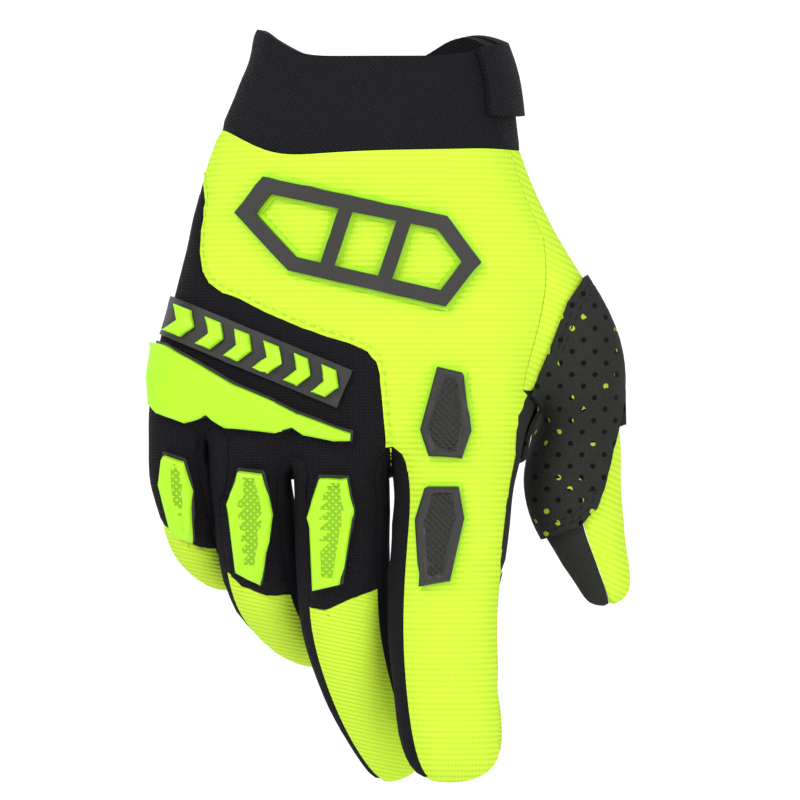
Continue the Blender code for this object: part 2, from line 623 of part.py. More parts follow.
def edge_shifts(faces, inset):
    """How far each border corner of a patch moves into it for a gap beside its neighbour."""
    kept = set(faces)
    sides = {}
    for face in faces:
        for loop in face.loops:
            if sum(other in kept for other in loop.edge.link_faces) == 1:
                a, b = loop.vert, loop.link_loop_next.vert
                inward = face.normal.cross(b.co - a.co).normalized()
                sides.setdefault(a, []).append(inward)
                sides.setdefault(b, []).append(inward)
    shifts = {}
    for corner, inwards in sides.items():
        if len(inwards) != 2:
            raise ValueError(f"a patch touches itself at {tuple(round(c * 1000, 2) for c in corner.co)}")
        first, second = inwards
        shifts[corner] = (first + second) * (inset / max(0.5, 1 + first.dot(second)))
    return shifts


def body_from(name, faces, low, high, inset=0.0):
    """A closed body over a patch of the shell, between two heights above it; high may depend on the corner."""
    shifts = edge_shifts(faces, inset)
    corners = list(dict.fromkeys(v for f in faces for v in f.verts))
    number = {v: i for i, v in enumerate(corners)}
    count = len(corners)
    height = high if callable(high) else lambda _: high
    points = []
    for level in (height, lambda _: low):
        for v in corners:
            points.append(v.co + v.normal * level(v) + shifts.get(v, Vector()))
    kept = set(faces)
    sides = []
    for face in faces:
        ring = [number[v] for v in face.verts]
        sides.append(ring)
        sides.append([i + count for i in reversed(ring)])
        for loop in face.loops:
            if sum(other in kept for other in loop.edge.link_faces) == 1:
                a, b = number[loop.vert], number[loop.link_loop_next.vert]
                sides.append([b, a, a + count, b + count])
    part = new_mesh_object(name, points, sides)
    part.data.materials.append(material_for(name))
    glove.objects.link(part)
    return part


def merge_flat(part, angle):
    """Joins the faces that lie nearly flat beside each other, away from the piece's edges."""
    body = bmesh.new()
    body.from_mesh(part.data)
    edge = {v for e in body.edges if e.calc_face_angle(0) > math.radians(50) for v in e.verts}
    verts = [v for v in body.verts if v not in edge]
    edges = [e for e in body.edges if not edge.issuperset(e.verts)]
    bmesh.ops.dissolve_limit(body, angle_limit=math.radians(angle), verts=verts, edges=edges)
    bmesh.ops.triangulate(body, faces=body.faces, quad_method="BEAUTY", ngon_method="BEAUTY")
    body.to_mesh(part.data)
    body.free()


def panel(name, shell, regions, wall, carries=False):
    """A sewn panel; one that carries other pieces stays closer to the shell."""
    part = body_from(name, shell.faces_of(regions), -wall, 0.0, SEAM_GAP / 2)
    merge_flat(part, CARRYING_FLAT_ANGLE if carries else FLAT_ANGLE)


def plate(name, shell, outline, low, high, holes=(), turn=0, chamfer=0.0, regions=None):
    """A moulded piece on the glove's outside, cut to an outline and following the shell below it."""
    cutter = shell.copy()
    regions = regions or cutter.names
    lines = [outline, *holes]
    if chamfer:
        lines += [grown(outline, -chamfer), *(grown(hole, chamfer) for hole in holes)]
    for line in lines:
        cutter.cut(line, regions, turn, 1)
    faces = cutter.inside(outline, regions, turn, 1, holes)
    across, _ = sight_axes(turn)

    def height(corner):
        if not chamfer:
            return high
        flat = Vector((corner.co.dot(across), corner.co.z))
        edge = min(distance_in(line, flat) for line in (outline, *holes))
        return high - CHAMFER_DROP * (1 - min(1, edge / chamfer * 1.02))

    merge_flat(body_from(name, faces, low, height), CARRYING_FLAT_ANGLE)
    cutter.body.free()


def cut_panels(shell):
    """Cuts the lines between panels that don't follow the cage, and names the faces on their far side."""
    border = measured(BACK_BORDER)
    foot = Vector((border[-1].x, -2 * PALM_WIDTH))
    corner = Vector((-PALM_WIDTH, border[0].y))
    shell.cut(border, ("back_hand",), closed=False)
    outline = [*border, foot, Vector((corner.x, foot.y)), corner]
    shell.rename(shell.inside(outline, ("back_hand",)), "knuckle")
    for name, line in TIP_BORDERS.items():
        line = measured(line)
        line = [Vector((-PALM_WIDTH, line[0].y)), *line, Vector((PALM_WIDTH, line[-1].y))]
        region = "back_" + name
        shell.cut(line, (region,), closed=False)
        below = [*line, Vector((PALM_WIDTH, foot.y)), Vector((-PALM_WIDTH, foot.y))]
        shell.rename(shell.inside(below, (region,)), "tip_" + name)
        shell.rename(shell.faces_of((region,)), "knuckle")
    backs = ("knuckle", "back_hand", "back_index")
    for fork, arch in enumerate(FORK_ARCHES):
        arch = measured(arch)
        shell.cut(arch, backs, facing=1)
        shell.rename(shell.inside(arch, backs, facing=1), f"fork_{fork}")
    line = measured(INDEX_BORDER)
    shell.cut(line, ("palm_index", "palm"), facing=1, closed=False)
    outline = [*line, Vector((0, foot.y)), Vector((0, line[0].y))]
    shell.rename(shell.inside(outline, ("palm_index", "palm"), facing=1), "back_index")
    level = -GRIP_START * PALM_WIDTH
    shell.cut([Vector((0, level)), Vector((PALM_WIDTH, level))], ("palm_index",), closed=False)
    outline = [Vector((0, level)), Vector((PALM_WIDTH, level)), Vector((PALM_WIDTH, foot.y)), Vector((0, foot.y))]
    shell.rename(shell.inside(outline, ("palm_index",)), "grip_index")


for old in list(bpy.data.objects):
    bpy.data.objects.remove(old)
glove = bpy.data.collections.new("motocross_glove")
bpy.context.scene.collection.children.link(glove)
whole = Shell(*subdivided_shell(1))
bare = whole.copy()
cut_panels(whole)

panel("cuff", whole, ("cuff", "cuff_wrapped"), CUFF_WALL)
panel("back_panel", whole, ("back_hand", "back_index"), KNIT_WALL, carries=True)
panel("knuckle_panel", whole, ("knuckle",), KNIT_WALL, carries=True)
panel("thumb_back", whole, ("gusset",), KNIT_WALL, carries=True)
panel("thumb_palm", whole, ("thumb_palm",), SUEDE_WALL, carries=True)
panel("palm", whole, ("palm", "palm_pinky", "palm_ring", "palm_middle", "palm_index"), SUEDE_WALL)
panel("index_grip", whole, ("grip_index",), SUEDE_WALL)
for finger in TIP_BORDERS:
    panel(finger + "_tip", whole, ("tip_" + finger,), KNIT_WALL)
for fork, label in enumerate(("pinky_ring", "ring_middle", "middle_index")):
    panel("fourchette_" + label, whole, (f"fork_{fork}",), FOURCHETTE_WALL)

strap = bare.faces_of(("cuff_wrapped",))
merge_flat(body_from("closure_strap", strap, SEAT_GAP, SEAT_GAP + STRAP_WALL), CARRYING_FLAT_ANGLE)

base_top = SEAT_GAP + GUARD_BASE
for label, outline, turn, rim, rise, regions in GUARDS:
    outline = measured(outline)
    plate(label + "_base", bare, grown(outline, rim), SEAT_GAP, base_top, turn=turn, regions=regions)
    top = base_top + SEAT_GAP
    plate(label, bare, outline, top, top + rise, turn=turn, chamfer=GUARD_CHAMFER, regions=regions)

cells = [measured(cell) for cell in EMBLEM_CELLS]
outline = measured(EMBLEM)
emblem_top = SEAT_GAP + EMBLEM_BASE
plate("emblem_base", bare, grown(outline, EMBLEM_RIM), SEAT_GAP, emblem_top,
      [grown(cell, -EMBLEM_RIM) for cell in cells])
plate("emblem", bare, outline, emblem_top + SEAT_GAP, emblem_top + SEAT_GAP + EMBLEM_RISE, cells)

along = Vector(BLOCK_STEP).normalized()
across = Vector((-along.y, along.x))


def block_place(step, corners):
    """Outline corners given along and across the row of blocks, from one block's place."""
    start = Vector(BLOCK_START) + Vector(BLOCK_STEP) * step
    return measured([start + along * u + across * v for u, v in corners])


plate("block_base", bare, block_place(0, BLOCK_BASE), SEAT_GAP, base_top, regions=("back_hand",))
for step in range(BLOCK_COUNT):
    plate(f"block_{step + 1}", bare, block_place(step, BLOCK), base_top + SEAT_GAP,
          base_top + SEAT_GAP + GUARD_RISE, chamfer=BLOCK_CHAMFER, regions=("back_hand",))

patch_front, patch_back = measured(PATCH_FRONT), measured(PATCH_BACK)
skin = bare.copy()
skin.cut(patch_front, THUMB_REGIONS)
skin.cut(patch_back, (*THUMB_REGIONS, "palm"))
patch = [f for f in skin.inside(patch_front, THUMB_REGIONS) if f.normal.y < 0]
patch += [f for f in skin.inside(patch_back, (*THUMB_REGIONS, "palm")) if f.normal.y >= 0]
merge_flat(body_from("thumb_patch", patch, SEAT_GAP, SEAT_GAP + PATCH_WALL), CARRYING_FLAT_ANGLE)
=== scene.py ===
"""The looks of the motocross glove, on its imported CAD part.

The glove's shell is made again at a finer level, and each cloth panel and moulded piece is cut out of it.
Units are metres; the back of the hand faces -Y and the thumb is at +X.
"""

import json
import math
from collections import namedtuple

import bmesh
import bpy
from mathutils import Matrix, Vector, noise
from mathutils.bvhtree import BVHTree

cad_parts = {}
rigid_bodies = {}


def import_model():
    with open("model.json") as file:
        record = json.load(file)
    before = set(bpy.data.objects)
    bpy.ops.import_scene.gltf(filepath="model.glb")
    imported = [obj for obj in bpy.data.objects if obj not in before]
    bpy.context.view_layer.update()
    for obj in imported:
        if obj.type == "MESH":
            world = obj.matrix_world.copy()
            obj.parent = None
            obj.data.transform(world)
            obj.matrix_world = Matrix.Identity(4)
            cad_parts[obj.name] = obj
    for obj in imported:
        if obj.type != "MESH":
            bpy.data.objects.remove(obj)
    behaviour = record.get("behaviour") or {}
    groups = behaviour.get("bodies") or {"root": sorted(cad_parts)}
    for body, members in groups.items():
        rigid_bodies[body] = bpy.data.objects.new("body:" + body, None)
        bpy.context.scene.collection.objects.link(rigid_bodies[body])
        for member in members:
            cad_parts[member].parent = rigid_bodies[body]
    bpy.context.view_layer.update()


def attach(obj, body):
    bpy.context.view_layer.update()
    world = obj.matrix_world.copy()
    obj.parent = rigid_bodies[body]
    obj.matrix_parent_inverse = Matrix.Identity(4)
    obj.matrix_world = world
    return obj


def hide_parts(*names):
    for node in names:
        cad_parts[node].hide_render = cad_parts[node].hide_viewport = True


# Driving sizes of the hand part
PALM_LENGTH = 0.078  # from the cuff's seam down to the forks between the fingers
PALM_WIDTH = 0.098  # across the knuckles
PALM_DEPTH = 0.040  # from the back of the hand to the palm
CUFF_HEIGHT = 0.025

# Each finger's length runs along its bend, from the fork to the tip
INDEX_LENGTH, INDEX_WIDTH, INDEX_DEPTH = 0.087, 0.0300, 0.0265
MIDDLE_LENGTH, MIDDLE_WIDTH, MIDDLE_DEPTH = 0.097, 0.0235, 0.0240
RING_LENGTH, RING_WIDTH, RING_DEPTH = 0.088, 0.0215, 0.0225
PINKY_LENGTH, PINKY_WIDTH, PINKY_DEPTH = 0.066, 0.0180, 0.0200
THUMB_LENGTH, THUMB_WIDTH, THUMB_DEPTH = 0.080, 0.0290, 0.0270

# Walls and gaps
KNIT_WALL = 0.0016
SUEDE_WALL = 0.0015
CUFF_WALL = 0.0026
FOURCHETTE_WALL = 0.0014
PATCH_WALL = 0.0012
STRAP_WALL = 0.0018
SEAM_GAP = 0.0006  # between the edges of two sewn panels
SEAT_GAP = 0.0003  # under a piece that sits on a panel

# Moulded guards
GUARD_BASE = 0.0009
GUARD_RISE = 0.0018
NARROW_RIM, WIDE_RIM = 0.0006, 0.0008  # how far a base shows round its raised part
GUARD_CHAMFER = 0.0006
CHAMFER_DROP = 0.0006
KNUCKLE_RISE = 0.0022
EMBLEM_BASE = 0.0007
EMBLEM_RISE = 0.0016
EMBLEM_RIM = 0.0010
BLOCK_CHAMFER = 0.0004
SNAP = 0.0002  # a cut this near a corner goes through it

# The shell's cage: rows down the palm, and columns round it from the outer side over the back of the hand
PalmRow = namedtuple("PalmRow", "down left right front back turn")
PALM_ROWS = (
    PalmRow(0.000, -0.420, 0.392, -0.58, 0.56, 0.00),
    PalmRow(0.117, -0.470, 0.425, -0.55, 0.54, 0.02),
    PalmRow(0.250, -0.500, 0.474, -0.53, 0.52, 0.06),
    PalmRow(0.383, -0.522, 0.485, -0.51, 0.50, 0.10),
    PalmRow(0.517, -0.556, 0.475, -0.50, 0.47, 0.15),
    PalmRow(0.650, -0.593, 0.456, -0.50, 0.43, 0.19),
    PalmRow(0.783, -0.606, 0.435, -0.49, 0.39, 0.22),
    PalmRow(0.900, -0.622, 0.405, -0.45, 0.35, 0.24),
    PalmRow(1.000, -0.618, 0.398, -0.40, 0.31, 0.25),
)
CuffRow = namedtuple("CuffRow", "up left right deep")
CUFF_ROWS = (
    CuffRow(0.30, -0.388, 0.384, 0.57),
    CuffRow(0.70, -0.341, 0.372, 0.56),
    CuffRow(1.00, -0.330, 0.340, 0.55),
)
# across and depth at the cuff and at the forks, then how far the seam and rim rise, and how far the fork drops
Column = namedtuple("Column", "cuff_across fork_across cuff_depth fork_depth seam_rise rim_rise fork_drop")
COLUMNS = (
    Column(0.035, 0.030, -0.42, -0.50, 0.22, 0.24, -0.043),
    Column(0.110, 0.085, -0.66, -0.80, 0.06, 0.08, -0.057),
    Column(0.210, 0.165, -0.84, -0.78, -0.09, -0.06, -0.110),
    Column(0.345, 0.277, -0.96, -1.02, -0.06, -0.07, -0.010),
    Column(0.500, 0.386, -1.00, -0.86, -0.03, -0.07, -0.010),
    Column(0.650, 0.516, -1.00, -1.06, -0.02, -0.07, 0.033),
    Column(0.780, 0.646, -0.93, -0.88, -0.01, -0.06, -0.040),
    Column(0.880, 0.816, -0.76, -1.10, 0.01, 0.00, 0.027),
    Column(0.965, 0.965, -0.45, -0.66, 0.00, 0.07, 0.000),
    Column(1.000, 1.000, 0.00, 0.00, 0.02, 0.08, 0.007),
    Column(0.965, 0.965, 0.45, 0.66, 0.02, 0.17, 0.040),
    Column(0.880, 0.816, 0.76, 1.05, 0.00, 0.28, 0.083),
    Column(0.780, 0.646, 0.93, 0.92, 0.00, 0.22, 0.107),
    Column(0.650, 0.516, 1.00, 1.02, 0.00, -0.03, 0.107),
    Column(0.500, 0.386, 1.00, 0.90, 0.00, -0.05, 0.100),
    Column(0.345, 0.277, 0.96, 1.02, 0.00, -0.03, 0.073),
    Column(0.210, 0.165, 0.84, 0.86, 0.00, 0.04, 0.040),
    Column(0.110, 0.085, 0.66, 0.85, 0.04, 0.16, 0.007),
    Column(0.035, 0.030, 0.42, 0.55, 0.14, 0.26, -0.017),
    Column(0.000, 0.000, 0.00, 0.00, 0.28, 0.28, -0.030),
)
RIGHT_SIDE, LEFT_SIDE = 9, 19  # the columns at the index side and at the outer side
COLUMN_COUNT = len(COLUMNS)
LAST_ROW = len(PALM_ROWS) - 1
WEB_DROP = {2: -0.060, 4: 0.040, 6: -0.030}  # the skin in each fork, by its column on the back
# how much further down the web between the thumb and the palm lies, by row and column
THUMB_WEB = {
    (5, 10): 0.03, (5, 11): 0.02, (6, 8): 0.00, (6, 9): 0.05, (6, 10): 0.13, (6, 11): 0.08, (6, 12): 0.03,
    (7, 9): 0.03, (7, 10): 0.08, (7, 11): 0.06, (7, 12): 0.02,
}
THUMB_ROWS = (2, 6)  # the thumb leaves the side of the palm between these rows
THUMB_COLUMNS = (8, 10)

# Stations down each finger, as shares of its length from the middle of its root, its width and its depth
Station = namedtuple("Station", "down side back wide deep lean", defaults=(None,))
FINGERS = {
    "pinky": (
        PINKY_LENGTH, PINKY_WIDTH, PINKY_DEPTH, -14,
        (
            Station(0.120, 0.012, 0.050, 0.98, 0.98),
            Station(0.210, 0.035, 0.110, 1.00, 1.00),
            Station(0.300, 0.054, 0.200, 0.96, 1.00),
            Station(0.388, 0.072, 0.320, 0.92, 0.98),
            Station(0.458, 0.116, 0.450, 0.84, 0.92),
            Station(0.512, 0.168, 0.580, 0.73, 0.80),
            Station(0.531, 0.202, 0.670, 0.50, 0.56),
            Station(0.535, 0.210, 0.710, 0.0, 0.0),
        ),
    ),
    "ring": (
        RING_LENGTH, RING_WIDTH, RING_DEPTH, -8,
        (
            Station(0.100, 0.006, 0.030, 0.98, 0.98),
            Station(0.195, 0.018, 0.070, 1.00, 1.00),
            Station(0.304, 0.027, 0.140, 1.02, 1.02),
            Station(0.399, 0.047, 0.240, 1.02, 1.02),
            Station(0.485, 0.092, 0.360, 0.95, 0.95),
            Station(0.543, 0.150, 0.490, 0.88, 0.90),
            Station(0.582, 0.194, 0.590, 0.77, 0.80),
            Station(0.602, 0.218, 0.665, 0.50, 0.52),
            Station(0.606, 0.226, 0.700, 0.0, 0.0),
        ),
    ),
    "middle": (
        MIDDLE_LENGTH, MIDDLE_WIDTH, MIDDLE_DEPTH, 0,
        (
            Station(0.085, 0.004, 0.012, 1.04, 1.00),
            Station(0.165, 0.005, 0.030, 1.05, 1.00),
            Station(0.281, 0.006, 0.075, 1.06, 1.02),
            Station(0.402, 0.008, 0.140, 1.06, 1.02),
            Station(0.536, 0.038, 0.220, 1.00, 0.97),
            Station(0.670, 0.080, 0.310, 0.92, 0.90),
            Station(0.785, 0.128, 0.380, 0.80, 0.78),
            Station(0.858, 0.165, 0.420, 0.62, 0.58),
            Station(0.890, 0.184, 0.436, 0.0, 0.0),
        ),
    ),
    "index": (
        INDEX_LENGTH, INDEX_WIDTH, INDEX_DEPTH, 0,
        (
            Station(0.095, -0.004, 0.005, 1.02, 1.00),
            Station(0.180, -0.006, 0.010, 1.02, 1.00),
            Station(0.320, -0.025, 0.025, 0.98, 0.98),
            Station(0.500, -0.037, 0.055, 0.95, 0.95),
            Station(0.690, -0.027, 0.100, 0.92, 0.90),
            Station(0.850, -0.004, 0.140, 0.92, 0.82),
            Station(0.955, 0.016, 0.165, 0.74, 0.60),
            Station(1.000, 0.022, 0.175, 0.0, 0.0),
        ),
    ),
}
FINGER_NAMES = tuple(FINGERS)
# The thumb's stations are measured from the middle of its root in the palm's side
THUMB_TURN = 0
THUMB_STATIONS = (
    Station(0.130, 0.122, 0.080, 1.08, 1.14, 65),
    Station(0.250, 0.135, 0.150, 1.02, 1.06, 46),
    Station(0.360, 0.126, 0.195, 0.98, 0.98, 37),
    Station(0.460, 0.120, 0.220, 0.95, 0.94, 28),
    Station(0.614, 0.132, 0.245, 0.84, 0.90, 16),
    Station(0.741, 0.162, 0.260, 0.69, 0.82, 6),
    Station(0.846, 0.206, 0.272, 0.58, 0.70, 5),
    Station(0.945, 0.236, 0.280, 0.40, 0.44, 11),
    Station(0.978, 0.242, 0.283, 0.0, 0.0, 11),
)
THUMB_AXIS = (1.0, 0.0, -0.3)  # the way the thumb leaves the palm

# Eight corners round a finger: three on the back, one on each side and three on the palm
BACK_CORNER = math.radians(50)
FINGER_ANGLES = (
    -BACK_CORNER, 0.0, BACK_CORNER, math.pi / 2,
    math.pi - BACK_CORNER, math.pi, math.pi + BACK_CORNER, -math.pi / 2,
)
FINGER_SQUARENESS = 2.3
THUMB_SQUARENESS = 2.1
# Subdivision draws a ring of corners in, so its corners start this much further out
FINGER_SWELL, THUMB_SWELL = 1.09, 1.05
ROOT_FADE = 0.55  # how much of the fork's slant each next station keeps

# Lines and outlines are shares of PALM_WIDTH, across and down from the middle of the wrist opening,
# as seen from the back of the hand
BACK_BORDER = (
    (-0.509, 0.186), (-0.483, 0.238), (-0.468, 0.316), (-0.455, 0.394), (-0.465, 0.459), (-0.469, 0.525),
    (-0.460, 0.577), (-0.442, 0.608), (-0.410, 0.631), (-0.361, 0.650), (-0.291, 0.686), (-0.212, 0.720),
    (-0.142, 0.746), (-0.067, 0.769), (-0.022, 0.790), (0.001, 0.816), (0.009, 0.845), (0.017, 0.926),
    (0.025, 1.019), (0.030, 1.111),
)
TIP_BORDERS = {
    "pinky": ((-0.600, 1.234), (-0.547, 1.273), (-0.515, 1.297), (-0.470, 1.316), (-0.374, 1.321)),
    "ring": ((-0.454, 1.340), (-0.401, 1.380), (-0.361, 1.419), (-0.294, 1.443), (-0.162, 1.438)),
    "middle": ((-0.240, 1.422), (-0.205, 1.443), (-0.179, 1.469), (-0.134, 1.475), (-0.081, 1.451), (0.024, 1.411)),
}
INDEX_BORDER = (
    (0.406, 0.900), (0.377, 0.965), (0.372, 1.058), (0.351, 1.181), (0.338, 1.297), (0.335, 1.368),
    (0.327, 1.495), (0.330, 1.705), (0.335, 1.863), (0.301, 1.969),
)
# the rounded tops of the forks' linings
FORK_ARCHES = (
    (
        (-0.458, 1.035), (-0.451, 1.009), (-0.440, 0.993), (-0.424, 0.988), (-0.408, 0.996), (-0.395, 1.014),
        (-0.390, 1.038), (-0.396, 1.110), (-0.404, 1.170), (-0.420, 1.180), (-0.440, 1.120),
    ),
    (
        (-0.236, 1.113), (-0.233, 1.085), (-0.220, 1.069), (-0.204, 1.067), (-0.189, 1.080), (-0.184, 1.113),
        (-0.188, 1.230), (-0.203, 1.330), (-0.218, 1.230),
    ),
    (
        (0.001, 1.127), (0.007, 1.088), (0.020, 1.067), (0.040, 1.059), (0.061, 1.067), (0.074, 1.090),
        (0.077, 1.127), (0.070, 1.205), (0.053, 1.335), (0.025, 1.335), (0.007, 1.230),
    ),
)
GRIP_START = 1.368  # how far down the index finger its grip begins
KNUCKLE_GUARD = (
    (-0.566, 0.768), (-0.546, 0.772), (-0.476, 0.811), (-0.371, 0.871), (-0.280, 0.910), (-0.212, 0.944),
    (-0.105, 0.984), (-0.064, 0.998), (-0.066, 1.014), (-0.105, 1.016), (-0.181, 1.000), (-0.216, 0.980),
    (-0.262, 0.993), (-0.384, 0.980), (-0.434, 0.946), (-0.499, 0.967), (-0.559, 0.947),
    (-0.576, 0.925), (-0.580, 0.850),
)
PINKY_GUARD = (
    (-0.551, 1.056), (-0.507, 1.072), (-0.492, 1.145), (-0.492, 1.277), (-0.534, 1.262), (-0.563, 1.130),
)
RING_GUARD = (
    (-0.355, 1.097), (-0.300, 1.102), (-0.281, 1.208), (-0.308, 1.392), (-0.363, 1.360), (-0.381, 1.184),
)
MIDDLE_GUARD = (
    (-0.140, 1.114), (-0.076, 1.116), (-0.062, 1.203), (-0.093, 1.391), (-0.156, 1.409), (-0.164, 1.206),
)
INDEX_GUARD_UPPER = (
    (0.163, 0.829), (0.228, 0.845), (0.246, 0.991), (0.223, 1.061), (0.144, 1.056), (0.121, 0.988),
)
INDEX_GUARD_LOWER = (
    (0.140, 1.138), (0.215, 1.138), (0.229, 1.221), (0.192, 1.384), (0.124, 1.399), (0.113, 1.227),
)
# each guard's name, outline, rim, rise and the parts of the cage it lies on
GUARDS = (
    ("knuckle_guard", KNUCKLE_GUARD, NARROW_RIM, KNUCKLE_RISE, ("back_hand",)),
    ("pinky_guard", PINKY_GUARD, NARROW_RIM, GUARD_RISE, ("back_hand", "back_pinky")),
    ("ring_guard", RING_GUARD, NARROW_RIM, GUARD_RISE, ("back_hand", "back_ring")),
    ("middle_guard", MIDDLE_GUARD, NARROW_RIM, GUARD_RISE, ("back_hand", "back_middle")),
    ("index_guard_upper", INDEX_GUARD_UPPER, WIDE_RIM, GUARD_RISE, ("back_hand", "back_index")),
    ("index_guard_lower", INDEX_GUARD_LOWER, WIDE_RIM, GUARD_RISE, ("back_hand", "back_index")),
)
PATCH_FRONT = (
    (0.703, 0.462), (0.549, 0.590), (0.503, 0.657), (0.458, 0.774), (0.430, 0.840), (0.405, 0.905),
    (0.344, 0.969), (0.344, 1.160), (0.410, 1.262), (0.450, 1.286), (0.546, 1.246), (0.581, 1.206),
    (0.602, 1.147), (0.634, 0.993), (0.647, 0.923), (0.757, 0.915),
)
PATCH_BACK = (
    (0.709, 0.485), (0.553, 0.601), (0.510, 0.680), (0.470, 0.760), (0.430, 0.840), (0.405, 0.905),
    (0.344, 0.969), (0.346, 1.104), (0.386, 1.184), (0.454, 1.225), (0.548, 1.217), (0.602, 1.130),
    (0.634, 0.996), (0.763, 0.915),
)
THUMB_REGIONS = ("gusset", "thumb_palm")
EMBLEM = (
    (-0.358, 0.426), (-0.285, 0.334), (0.183, 0.436), (0.272, 0.556), (0.183, 0.673), (-0.223, 0.577),
)
# a row of arrow-shaped blocks above the knuckle guard: the first one's place, the step to the next, and its corners
BLOCK_COUNT = 6
BLOCK_START, BLOCK_STEP = (-0.497, 0.714), (0.0752, 0.0310)
BLOCK = ((-0.032, -0.037), (0.008, -0.037), (0.030, 0.0), (0.008, 0.037), (-0.032, 0.037), (-0.010, 0.0))
BLOCK_BASE = ((-0.060, -0.052), (0.452, -0.052), (0.452, 0.052), (-0.048, 0.052))
EMBLEM_CELLS = (
    ((-0.306, 0.428), (-0.267, 0.378), (-0.095, 0.415), (-0.142, 0.556), (-0.202, 0.542)),
    ((-0.059, 0.424), (0.056, 0.448), (0.009, 0.592), (-0.106, 0.564)),
    ((0.092, 0.456), (0.160, 0.471), (0.223, 0.555), (0.168, 0.629), (0.045, 0.600)),
)


Cage = namedtuple("Cage", "points faces regions")


def blend(a, b, share):
    return a + (b - a) * share


def palm_point(row, column):
    """A cage corner on the palm, from its row and column."""
    sizes, place = PALM_ROWS[row], COLUMNS[column]
    across = blend(place.cuff_across, place.fork_across, sizes.down)
    depth = blend(place.cuff_depth, place.fork_depth, sizes.down)
    x = blend(sizes.left, sizes.right, across) * PALM_WIDTH
    reach = -sizes.front if depth < 0 else sizes.back
    y = (depth * reach + sizes.turn * (0.5 - across)) * PALM_DEPTH
    down = sizes.down + place.fork_drop * sizes.down**2 + THUMB_WEB.get((row, column), 0)
    z = -CUFF_HEIGHT - down * PALM_LENGTH
    z += place.seam_rise * (1 - sizes.down) ** 5 * CUFF_HEIGHT
    return Vector((x, y, z))


def cuff_point(step, column):
    """A cage corner on the cuff: step 0 is just above the seam."""
    sizes, place = CUFF_ROWS[step], COLUMNS[column]
    x = blend(sizes.left, sizes.right, place.cuff_across) * PALM_WIDTH
    y = place.cuff_depth * sizes.deep * PALM_DEPTH
    rise = blend(place.seam_rise, place.rim_rise, sizes.up)
    return Vector((x, y, -CUFF_HEIGHT * (1 - sizes.up) + rise * CUFF_HEIGHT))


def squircle(angle, squareness):
    """Shares of the half width and half depth at an angle from the back of the finger towards +X."""
    s, c = math.sin(angle), math.cos(angle)
    power = 2 / squareness
    return math.copysign(abs(s) ** power, s), math.copysign(abs(c) ** power, c)


def section_axes(along, turn):
    """The sideways and outward directions of a section whose tube runs along a direction."""
    sideways = Matrix.Rotation(math.radians(turn), 3, "Z") @ Vector((1, 0, 0))
    sideways = (sideways - along * sideways.dot(along)).normalized()
    return sideways, along.cross(sideways)


def tube_stations(root, axis, length, stations):
    """Centres of a finger's sections, and the direction it runs in at each."""
    centres = [root + Vector((s.side, s.back, -s.down)) * length for s in stations]
    line = [root - axis * 0.05 * length, *centres]
    directions = [(line[i + 2] - line[i]).normalized() for i in range(len(centres) - 1)]
    for i, station in enumerate(stations[:-1]):
        if station.lean is not None:
            lean = math.radians(station.lean)
            directions[i] = Vector((math.sin(lean), directions[i].y, -math.cos(lean))).normalized()
    return centres, directions


class CageBuilder:
    """Collects the corners and faces of the glove's cage."""

    def __init__(self):
        self.points, self.index, self.faces, self.regions = [], {}, [], []

    def corner(self, key, point=None):
        if key not in self.index:
            self.index[key] = len(self.points)
            self.points.append(point)
        return self.index[key]

    def face(self, region, *keys):
        self.faces.append([self.index[key] for key in keys])
        self.regions.append(region)

    def tube(self, name, root_keys, length, width, depth, turn, stations, angles, squareness, swell, region_of, axis):
        """Carries a ring of corners out along a finger or thumb, and returns the last ring's keys."""
        roots = [self.points[self.index[key]] for key in root_keys]
        root = sum(roots, Vector()) / len(roots)
        centres, directions = tube_stations(root, axis, length, stations)
        rings = [list(root_keys)]
        for step, (centre, along, size) in enumerate(zip(centres[:-1], directions, stations)):
            sideways, outward = section_axes(along, turn)
            keys = []
            for j, angle in enumerate(angles):
                wide, deep = squircle(angle, squareness)
                slant = (roots[j] - root).dot(axis) * ROOT_FADE ** (step + 1) if step < 3 else 0
                point = centre + sideways * (wide * width / 2 * size.wide * swell)
                point += outward * (deep * depth / 2 * size.deep * swell) + along * slant
                keys.append((name, step, j))
                self.corner(keys[-1], point)
            rings.append(keys)
        self.corner((name, "tip"), centres[-1])
        count = len(angles)
        for step, (upper, lower) in enumerate(zip(rings, rings[1:])):
            for j in range(count):
                k = (j + 1) % count
                self.face(region_of(step, j), upper[j], lower[j], lower[k], upper[k])
        return rings[-1]


def finger_regions(finger):
    """Which panel each of a finger's eight strips belongs to."""
    name = FINGER_NAMES[finger]
    back, palm = "back_" + name, "palm_" + name
    right = f"fork_{finger}" if finger < 3 else palm
    left_back, left_palm = (f"fork_{finger - 1}",) * 2 if finger else (back, palm)
    return (back, back, right, right, palm, palm, left_palm, left_back)


